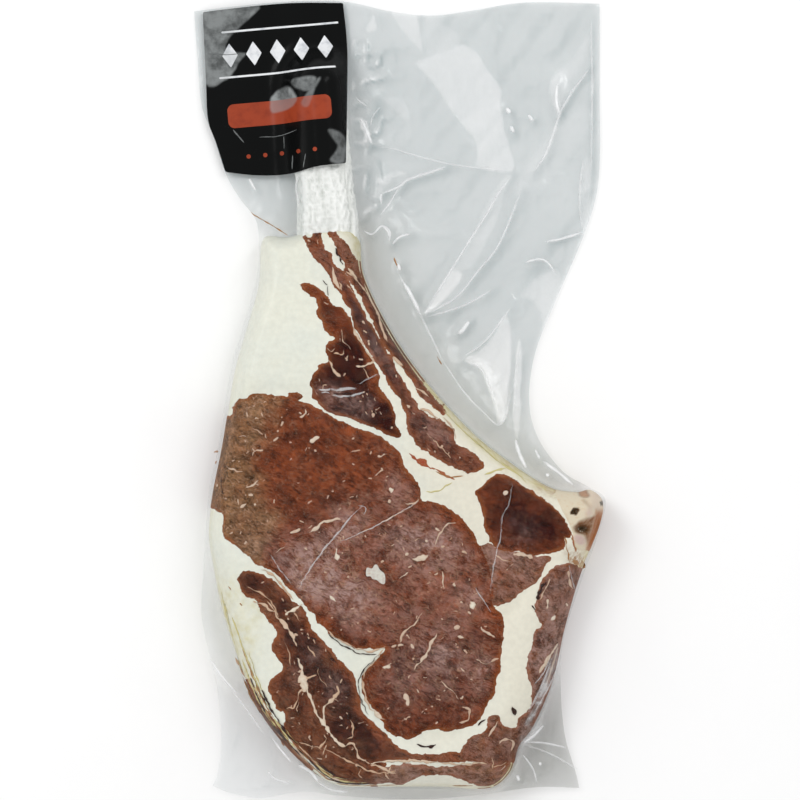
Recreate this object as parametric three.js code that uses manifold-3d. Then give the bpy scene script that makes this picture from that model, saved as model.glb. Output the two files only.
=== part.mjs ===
// Prime rib steak, one rib thick, sealed in a clear vacuum bag that lies flat, with a printed label.
// Millimetres, +Z up. The bag rests on z = 0, its long way runs along Y, and the label is at +Y.

import * as THREE from 'three';
import { mergeVertices } from 'three/addons/utils/BufferGeometryUtils.js';
import Module from 'manifold-3d';

const wasm = await Module();
wasm.setup();

// Driving dimensions of the film
const FILM = 1.0; // both films of the flat skirt, one on the other
const SKIRT_EDGE = 1.7; // height of the skirt's middle at the bag's edges
const SKIRT_RISE = 7.5; // how much higher the skirt leaves the meat
const SKIRT_REACH = 17; // distance over which it falls
const WAVE = 0.7; // height of the skirt's slack waves
const TENT_OVER = 9; // how much higher the upper film leaves the meat than the skirt's middle
const TENT_UNDER = 5; // how much lower the lower film leaves it
const TENT_REACH = 8; // distance over which the two close up, and less beside the bag's edge
const EDGE_REACH = 6;

// Driving dimensions of the meat and its bone
const MEAT_TOP = 32.5; // height of the cut face
const TAIL_DROP = 6; // how much lower the fat tail lies
const TAIL_FROM = 5; // the drop runs between these two values of y
const TAIL_TO = 75;
const WIDEST = 9; // height where the steak's side stands out furthest
const SLOPED_SIDE = 2.3; // how much further the side slopes at the lower right
const SEAM_DEPTH = 1.3; // grooves between the muscles
const SEAM_WIDTH = 4.5;
const CENTRE = new THREE.Vector2(-16, -55); // every point of the steak's outline is in sight of it
const BONE_TOP = 23; // top of the guarded rib bone
const BONE_SPREAD = 15; // how wide the film lies over it

// Driving dimensions of the label
const LABEL = 0.5;
const LABEL_GAP = 0.3;

// Numbers of steps
const BAG_STEPS = [34, 54]; // across and along
const LABEL_STEPS = 12; // along each edge
const STEAK_SIDES = 104;
const STEAK_RINGS = 13;

// Edges of the bag, all from the lower left corner on
const BAG = {
  left: [[-86, -177.5], [-83.5, -171.5], [-82, -156.5], [-83.5, -135.5], [-88, -114.5], [-91, -98],
    [-90, -78.5], [-87.5, -43], [-83.5, -23], [-77.5, 13.5], [-72, 33], [-66, 54], [-64.5, 69.5],
    [-66, 82.5], [-73.5, 92.5], [-80, 104], [-86, 122], [-91, 135.5], [-93, 157.5], [-94.5, 178.5]],
  right: [[82.5, -178.5], [81, -171.5], [76, -154.5], [74, -133.5], [75, -110.5], [84, -81.5],
    [90, -65], [94.5, -46.5], [86.5, -40], [75, -33], [63.5, -17.5], [59.5, 0], [62.5, 22],
    [72, 46], [85, 76.5], [91.5, 101], [92, 142.5], [92, 182]],
  bottom: [[-86, -177.5], [-77, -181], [-63, -183], [-44, -180], [-25, -182], [7, -183.5],
    [34.5, -181.5], [62.5, -178], [82.5, -178.5]],
  top: [[-94.5, 178.5], [-78, 180.5], [-50.5, 183], [-26, 183], [-4.5, 178.5], [15, 176.5],
    [34.5, 179], [57.5, 182.5], [92, 182]],
};

// Edges of the label, which ends at the bag's top edge: down the left, along the foot, up the right, back
const LABEL_EDGES = [
  [[-90.5, 178], [-89, 147], [-88, 128.5], [-84.5, 118.5], [-80, 104.5]],
  [[-80, 104.5], [-65.5, 103], [-50.5, 103.5], [-37.5, 106.5], [-24.5, 108]],
  [[-24.5, 108], [-24, 133], [-24, 161], [-26, 182.3]],
  [[-26, 182.3], [-50.5, 182.2], [-78, 179.6], [-90.5, 178]],
];

// Outline of the steak: fat tail at the top, chine at the right, clockwise from the tail's left corner
const STEAK = [[-63, 74], [-50.5, 75], [-37.5, 79], [-25, 79.5], [-18, 73.5], [-15.5, 56],
  [-2.5, 30], [13, 8], [32.5, -13.5], [49, -27], [68.5, -39.5], [81, -42], [87.5, -41],
  [93.5, -46.5], [92, -58], [83, -81], [76, -105], [70.5, -129], [61.5, -150], [55, -159],
  [51.5, -170.5], [43.5, -178], [33, -179], [19, -178], [-9, -178], [-27.5, -177.5],
  [-39, -171.5], [-52.5, -159], [-65, -142], [-74, -120], [-81.5, -97], [-85.5, -78.5],
  [-88, -61.5], [-86, -43], [-82, -23], [-79, -5], [-76, 13.5], [-70.5, 33], [-65, 53]];

// Middle line of the rib bone, which runs up under the label
const BONE = [[-31, 69], [-32, 89.5], [-34, 110], [-35.5, 131], [-36.5, 144]];

// Fat seams between the muscles: over the eye, beside the rib, under the eye and by the chine
const SEAMS = [
  [[-81, -10], [-62, 3], [-43, 0], [-26, -10], [-8, -18], [5, -35], [24, -54], [37, -68]],
  [[-33, 74], [-16, 41], [2, 10], [20, -12], [38, -26]],
  [[-87, -50], [-64, -75], [-46, -90], [-28, -111], [-16, -140], [-2, -154], [30, -151], [44, -133],
    [46, -105], [60, -85], [70, -70], [44, -67]],
];

// A smooth line through points, at even steps along its length.
function smoothLine(points, steps, closed = false) {
  const corners = points.map(([x, y]) => new THREE.Vector3(x, y, 0));
  const curve = new THREE.CatmullRomCurve3(corners, closed, 'catmullrom', 0.5);
  curve.arcLengthDivisions = 20 * points.length;
  const line = curve.getSpacedPoints(steps);
  return closed ? line.slice(0, steps) : line;
}

// Distance from a point to a line of short straight pieces.
function distanceToLine(line, x, y, closed = false) {
  let nearest = Infinity;
  const last = closed ? line.length : line.length - 1;
  for (let i = 0; i < last; i += 1) {
    const a = line[i];
    const b = line[(i + 1) % line.length];
    const along = ((x - a.x) * (b.x - a.x) + (y - a.y) * (b.y - a.y)) / a.distanceToSquared(b);
    const t = THREE.MathUtils.clamp(along, 0, 1);
    nearest = Math.min(nearest, Math.hypot(a.x + t * (b.x - a.x) - x, a.y + t * (b.y - a.y) - y));
  }
  return nearest;
}

// Whether a point lies inside a closed line.
function isInside(line, x, y) {
  let inside = false;
  line.forEach((a, i) => {
    const b = line[(i + 1) % line.length];
    if ((a.y > y) !== (b.y > y) && x < a.x + ((y - a.y) * (b.x - a.x)) / (b.y - a.y)) inside = !inside;
  });
  return inside;
}

const steakLine = smoothLine(STEAK, STEAK_SIDES, true);
const sideLines = [BAG.left, BAG.right, BAG.bottom].map((edge) => smoothLine(edge, 60));
const boneLine = smoothLine(BONE, 16);
const seamLines = SEAMS.map((seam) => smoothLine(seam, 30));

// Distance from a point to the meat, and 0 inside its outline.
function distanceToMeat(x, y) {
  return isInside(steakLine, x, y) ? 0 : distanceToLine(steakLine, x, y, true);
}

// Height of the middle of the skirt: high beside the meat, low at the bag's edges, with slack waves.
function skirtHeight(x, y) {
  const fall = Math.exp(-distanceToMeat(x, y) / SKIRT_REACH);
  const wave = WAVE * (1 - fall) * (Math.sin(0.11 * x + 0.05 * y) * Math.sin(0.07 * y - 0.03 * x));
  return SKIRT_EDGE + SKIRT_RISE * fall + wave;
}

// How far the two films still stand apart, from 1 at the meat to 0 where they meet.
function openness(x, y) {
  const toEdge = Math.min(...sideLines.map((line) => distanceToLine(line, x, y)));
  const fromMeat = Math.exp(-((distanceToMeat(x, y) / TENT_REACH) ** 1.5));
  return fromMeat * (1 - Math.exp(-((toEdge / EDGE_REACH) ** 2)));
}

// Height of the bag's upper film outside the meat, which arches over the rib bone.
function upperFilm(x, y) {
  const flat = skirtHeight(x, y) + TENT_OVER * openness(x, y);
  const arch = Math.exp(-((distanceToLine(boneLine, x, y) / BONE_SPREAD) ** 3));
  return flat + FILM / 2 + Math.max(0, BONE_TOP - flat) * arch;
}

// Height of the bag's lower film outside the meat.
function lowerFilm(x, y) {
  return skirtHeight(x, y) - TENT_UNDER * openness(x, y) - FILM / 2;
}

// Height of the cut face of the meat, with the grooves between its muscles.
function meatHeight(x, y) {
  const tail = THREE.MathUtils.smoothstep(y, TAIL_FROM, TAIL_TO);
  const groove = seamLines.reduce((deepest, seam) => {
    const depth = Math.exp(-((distanceToLine(seam, x, y) / SEAM_WIDTH) ** 2));
    return Math.max(deepest, depth);
  }, 0);
  return MEAT_TOP - TAIL_DROP * tail - SEAM_DEPTH * groove;
}

// A point between four edge lines, by their smooth blend.
function blendEdges(edges, u, v) {
  const [left, right, bottom, top] = [edges.left[v.i], edges.right[v.i], edges.bottom[u.i], edges.top[u.i]];
  const corner = (key) => {
    const a = edges.bottom[0][key] * (1 - u.t) + edges.bottom.at(-1)[key] * u.t;
    const b = edges.top[0][key] * (1 - u.t) + edges.top.at(-1)[key] * u.t;
    return a * (1 - v.t) + b * v.t;
  };
  const blend = (key) => left[key] * (1 - u.t) + right[key] * u.t
    + bottom[key] * (1 - v.t) + top[key] * v.t - corner(key);
  return [blend('x'), blend('y')];
}

// A closed geometry from corners and triangles.
function closedGeometry(corners, triangles) {
  const geometry = new THREE.BufferGeometry();
  geometry.setAttribute('position', new THREE.Float32BufferAttribute(corners.flat(), 3));
  geometry.setIndex(triangles.flat());
  return geometry;
}

// A closed sheet between four edges, from a lower height to an upper one.
function sheet(edgePoints, [across, along], lower, upper) {
  const edges = {
    left: smoothLine(edgePoints.left, along),
    right: smoothLine(edgePoints.right, along),
    bottom: smoothLine(edgePoints.bottom, across),
    top: smoothLine(edgePoints.top, across),
  };
  const corners = [];
  for (const height of [lower, upper]) {
    for (let j = 0; j <= along; j += 1) {
      for (let i = 0; i <= across; i += 1) {
        const [x, y] = blendEdges(edges, { i, t: i / across }, { i: j, t: j / along });
        corners.push([x, y, height(x, y)]);
      }
    }
  }
  const layer = (across + 1) * (along + 1);
  const at = (i, j, level) => level * layer + j * (across + 1) + i;
  const triangles = [];
  for (let j = 0; j < along; j += 1) {
    for (let i = 0; i < across; i += 1) {
      const [a, b, c, d] = [at(i, j, 1), at(i + 1, j, 1), at(i + 1, j + 1, 1), at(i, j + 1, 1)];
      triangles.push([a, b, c], [a, c, d]);
      triangles.push([a - layer, c - layer, b - layer], [a - layer, d - layer, c - layer]);
    }
  }
  const rim = (p, q) => triangles.push([p, q, q + layer], [p, q + layer, p + layer]);
  for (let i = 0; i < across; i += 1) {
    rim(at(i, 0, 0), at(i + 1, 0, 0));
    rim(at(i + 1, along, 0), at(i, along, 0));
  }
  for (let j = 0; j < along; j += 1) {
    rim(at(0, j + 1, 0), at(0, j, 0));
    rim(at(across, j, 0), at(across, j + 1, 0));
  }
  return closedGeometry(corners, triangles);
}

// The side of the steak as steps of inset and height, from the flat underside to the cut face.
const SIDE = [
  { inset: 7, z: () => 0 },
  { inset: 2.2, z: () => 2.6 },
  { inset: 0, z: () => WIDEST },
  { inset: 1, z: (top) => 0.52 * top },
  { inset: 2.6, z: (top) => 0.76 * top },
  { inset: 5, z: (top) => 0.92 * top },
  { inset: 9, z: (top) => top },
];

// How much further than elsewhere the side above the widest place slopes, at a direction in radians.
function slopeFactor(direction) {
  const LOWER_RIGHT = -0.75; // the direction of the widest slope
  const turn = Math.cos(direction - LOWER_RIGHT);
  return 1 + (SLOPED_SIDE - 1) * THREE.MathUtils.smoothstep(turn, 0.72, 0.97);
}

// The steak under its film: rings from the flat underside over the side and across the cut face.
function steakGeometry() {
  const spokes = steakLine.map((point, i) => {
    const before = steakLine.at(i - 1);
    const after = steakLine[(i + 1) % STEAK_SIDES];
    const out = new THREE.Vector2(point.x, point.y).sub(CENTRE);
    const normal = new THREE.Vector2(before.y - after.y, after.x - before.x).normalize();
    const length = out.length();
    const way = out.divideScalar(length);
    return { way, length, lean: 1 / Math.max(0.45, normal.dot(way)) };
  });
  const ringAt = (inset, isUpper) => spokes.map(({ way, length, lean }) => {
    const slope = isUpper ? slopeFactor(way.angle()) : 1;
    return way.clone().multiplyScalar(length - inset * lean * slope).add(CENTRE);
  });
  const corners = [];
  SIDE.forEach(({ inset, z }, step) => {
    const rim = ringAt(inset, step > 2);
    corners.push(...rim.map((p) => [p.x, p.y, z(meatHeight(p.x, p.y))]));
  });
  const lastRim = ringAt(SIDE.at(-1).inset, true);
  for (let ring = STEAK_RINGS - 1; ring > 0; ring -= 1) {
    const share = ring / STEAK_RINGS;
    corners.push(...lastRim.map((rim) => {
      const p = rim.clone().lerp(CENTRE, 1 - share);
      return [p.x, p.y, meatHeight(p.x, p.y)];
    }));
  }
  const under = corners.push([CENTRE.x, CENTRE.y, 0]) - 1;
  const over = corners.push([CENTRE.x, CENTRE.y, meatHeight(CENTRE.x, CENTRE.y)]) - 1;
  const triangles = [];
  const rings = (under / STEAK_SIDES) - 1;
  for (let i = 0; i < STEAK_SIDES; i += 1) {
    const next = (i + 1) % STEAK_SIDES;
    triangles.push([under, i, next]);
    for (let ring = 0; ring < rings; ring += 1) {
      const [a, b] = [ring * STEAK_SIDES + i, ring * STEAK_SIDES + next];
      triangles.push([a, a + STEAK_SIDES, b], [b, a + STEAK_SIDES, b + STEAK_SIDES]);
    }
    triangles.push([over, rings * STEAK_SIDES + next, rings * STEAK_SIDES + i]);
  }
  return closedGeometry(corners, triangles);
}

// A geometry as a solid that can be joined or cut.
function toSolid(geometry) {
  geometry.deleteAttribute('normal');
  geometry.deleteAttribute('uv');
  const merged = mergeVertices(geometry, 1e-4);
  return new wasm.Manifold(new wasm.Mesh({
    numProp: 3,
    vertProperties: new Float32Array(merged.attributes.position.array),
    triVerts: new Uint32Array(merged.index.array),
  }));
}

// A solid as a geometry.
function toGeometry(solid) {
  const { vertProperties, triVerts } = solid.getMesh();
  const geometry = new THREE.BufferGeometry();
  geometry.setAttribute('position', new THREE.Float32BufferAttribute(vertProperties, 3));
  geometry.setIndex(Array.from(triVerts));
  return geometry;
}

// The sealed bag: its flat skirt of film and the shape of what it holds, in one solid.
function bagGeometry() {
  const skirt = toSolid(sheet(BAG, BAG_STEPS, lowerFilm, upperFilm));
  return toGeometry(skirt.add(toSolid(steakGeometry())));
}

// The label: the part, inside the label's outline, of a thin sheet that lies on the upper film.
function labelGeometry() {
  const under = (x, y) => upperFilm(x, y) + LABEL_GAP;
  const layer = sheet(BAG, BAG_STEPS, under, (x, y) => under(x, y) + LABEL);
  const outline = LABEL_EDGES.flatMap((edge) => smoothLine(edge, LABEL_STEPS).slice(1));
  const cutter = new THREE.ExtrudeGeometry(new THREE.Shape(outline), { depth: MEAT_TOP, bevelEnabled: false });
  return toGeometry(toSolid(layer).intersect(toSolid(cutter)));
}

function addPiece(group, name, geometry, color, roughness) {
  const material = new THREE.MeshStandardMaterial({ color, roughness, metalness: 0 });
  const mesh = new THREE.Mesh(geometry, material);
  mesh.name = name;
  group.add(mesh);
}

const pack = new THREE.Group();
addPiece(pack, 'bag', bagGeometry(), 0xb9a79a, 0.25);
addPiece(pack, 'label', labelGeometry(), 0x131514, 0.3);

// The origin is the middle of the bag's underside.
const box = new THREE.Box3().setFromObject(pack.getObjectByName('bag'));
const middle = box.getCenter(new THREE.Vector3());
pack.position.set(-middle.x, -middle.y, -box.min.z);

export default pack;
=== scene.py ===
"""Rib steak sealed in clear film: film, fat, muscles, bone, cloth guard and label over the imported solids."""

import math

import bpy
import numpy as np
from bpy.props import FloatProperty, FloatVectorProperty, IntProperty, PointerProperty
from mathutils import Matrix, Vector


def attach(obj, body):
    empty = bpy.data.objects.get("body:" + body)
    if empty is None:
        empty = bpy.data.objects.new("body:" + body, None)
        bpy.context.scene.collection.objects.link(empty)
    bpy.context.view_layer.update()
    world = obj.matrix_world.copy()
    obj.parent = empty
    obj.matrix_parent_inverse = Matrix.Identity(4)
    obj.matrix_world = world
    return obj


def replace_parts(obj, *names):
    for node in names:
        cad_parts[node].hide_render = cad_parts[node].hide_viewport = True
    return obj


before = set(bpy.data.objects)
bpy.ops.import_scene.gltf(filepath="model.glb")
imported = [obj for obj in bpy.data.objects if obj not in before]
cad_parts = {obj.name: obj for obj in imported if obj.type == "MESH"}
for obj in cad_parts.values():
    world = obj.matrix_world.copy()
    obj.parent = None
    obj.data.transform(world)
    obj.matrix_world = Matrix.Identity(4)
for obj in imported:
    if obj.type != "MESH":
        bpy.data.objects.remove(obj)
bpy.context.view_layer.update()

bl_info = {
    "name": "Rib steak in a clear bag",
    "version": (1, 0, 0),
    "blender": (4, 5, 0),
    "location": "3D View > Sidebar > Rib steak",
    "description": "Dresses the packed solids as a raw rib steak sealed in clear film",
    "category": "Object",
}

# All lengths are millimetres, until a mesh is made
MM = 0.001

# The film, as in the solids
FILM = 1.0
SKIRT_EDGE = 1.7
SKIRT_RISE = 7.5
SKIRT_REACH = 17.0
WAVE = 0.7
TENT_OVER = 9.0
TENT_UNDER = 5.0
TENT_REACH = 8.0
EDGE_REACH = 6.0

# The meat and its bone, as in the solids
MEAT_TOP = 32.5
TAIL_DROP = 6.0
TAIL_FROM = 5.0
TAIL_TO = 75.0
WIDEST = 9.0
SIDE_INSET = 9.0
UNDER_INSET = 7.0
SLOPED_SIDE = 2.3
LOWER_RIGHT = -0.75
GROOVE_DEPTH = 1.3
GROOVE_WIDTH = 4.5
CENTRE = (-16.0, -55.0)
BONE_TOP = 23.0
BONE_SPREAD = 15.0

# The label, as in the solids
LABEL_GAP = 0.3
LABEL = 0.5

# How the contents lie under the film
MEAT_INSET = 0.55
RIM = 1.2
LEAN_UNDER_FILM = 0.5
FAT_UNDER_FILM = 0.85
NEARER_BELOW = 0.1
LEAST_HEIGHT = 0.12

# The cloth guard: half its width, half its height and the height of its middle
GUARD_WIDE = 12.6
GUARD_TALL = 8.6
GUARD_MIDDLE = 11.6

# Muscles that come out at the steak's side
REACH_THE_SIDE = ("eye", "right_strip", "corner", "left_band")
# How far a muscle's outline is moved outward before its edge wanders, where that is not 0.25
OUTWARD = {"upper": 0.5, "outer_strip": 0.15}

# Share of dark, painted reflection of the film (a mauve haze) and olive on each muscle but the eye
LEAN_TONES = {
    "lobe": (0.0, 0.5, 0.3), "upper": (0.4, 0.0, 0.0), "inner_strip": (0.2, 0.1, 0.1),
    "outer_strip": (0.1, 0.15, 0.15), "chine_muscle": (0.45, 0.0, 0.0), "right_strip": (0.1, 0.5, 0.3),
    "corner": (0.3, 0.35, 0.3), "foot_over": (0.6, 0.1, 0.3), "foot_under": (0.1, 0.5, 0.6),
    "cap": (0.38, 0.05, 0.3), "left_band": (0.4, 0.1, 0.6),
}

# Short flecks: a muscle, the box of x and y, share of their number, seed, turn and room to the edge
FLECKED = (("eye", (-88, 46, -152, 0), 1.0, 11, 0.5, 3.0), ("upper", (-40, 0, -16, 50), 0.2, 18, -0.95, 1.5),
           ("inner_strip", (-43, 38, -33, 79), 0.3, 16, -0.95, 1.5),
           ("cap", (-73, -3, -175, -78), 0.4, 17, -0.95, 1.5))

BAG = {
    "left": [(-86, -177.5), (-83.5, -171.5), (-82, -156.5), (-83.5, -135.5), (-88, -114.5), (-91, -98),
        (-90, -78.5), (-87.5, -43), (-83.5, -23), (-77.5, 13.5), (-72, 33), (-66, 54), (-64.5, 69.5),
        (-66, 82.5), (-73.5, 92.5), (-80, 104), (-86, 122), (-91, 135.5), (-93, 157.5), (-94.5, 178.5)],
    "right": [(82.5, -178.5), (81, -171.5), (76, -154.5), (74, -133.5), (75, -110.5), (84, -81.5), (90, -65),
        (94.5, -46.5), (86.5, -40), (75, -33), (63.5, -17.5), (59.5, 0), (62.5, 22), (72, 46), (85, 76.5),
        (91.5, 101), (92, 142.5), (92, 182)],
    "bottom": [(-86, -177.5), (-77, -181), (-63, -183), (-44, -180), (-25, -182), (7, -183.5), (34.5, -181.5),
        (62.5, -178), (82.5, -178.5)],
    "top": [(-94.5, 178.5), (-78, 180.5), (-50.5, 183), (-26, 183), (-4.5, 178.5), (15, 176.5), (34.5, 179),
        (57.5, 182.5), (92, 182)],
}

LABEL_EDGES = [
    [(-90.5, 178), (-89, 147), (-88, 128.5), (-84.5, 118.5), (-80, 104.5)], [(-80, 104.5), (-65.5, 103),
    (-50.5, 103.5), (-37.5, 106.5), (-24.5, 108)], [(-24.5, 108), (-24, 133), (-24, 161), (-26, 182.3)],
    [(-26, 182.3), (-50.5, 182.2), (-78, 179.6), (-90.5, 178)],
]

STEAK = [
    (-63, 74), (-50.5, 75), (-37.5, 79), (-25, 79.5), (-18, 73.5), (-15.5, 56), (-2.5, 30), (13, 8),
    (32.5, -13.5), (49, -27), (68.5, -39.5), (81, -42), (87.5, -41), (93.5, -46.5), (92, -58), (83, -81),
    (76, -105), (70.5, -129), (61.5, -150), (55, -159), (51.5, -170.5), (43.5, -178), (33, -179), (19, -178),
    (-9, -178), (-27.5, -177.5), (-39, -171.5), (-52.5, -159), (-65, -142), (-74, -120), (-81.5, -97),
    (-85.5, -78.5), (-88, -61.5), (-86, -43), (-82, -23), (-79, -5), (-76, 13.5), (-70.5, 33), (-65, 53),
]

BONE = [(-31, 69), (-32, 89.5), (-34, 110), (-35.5, 131), (-36.5, 144)]

GROOVES = [
    [(-81, -10), (-62, 3), (-43, 0), (-26, -10), (-8, -18), (5, -35), (24, -54), (37, -68)], [(-33, 74),
    (-16, 41), (2, 10), (20, -12), (38, -26)], [(-87, -50), (-64, -75), (-46, -90), (-28, -111), (-16, -140),
    (-2, -154), (30, -151), (44, -133), (46, -105), (60, -85), (70, -70), (44, -67)],
]

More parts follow.
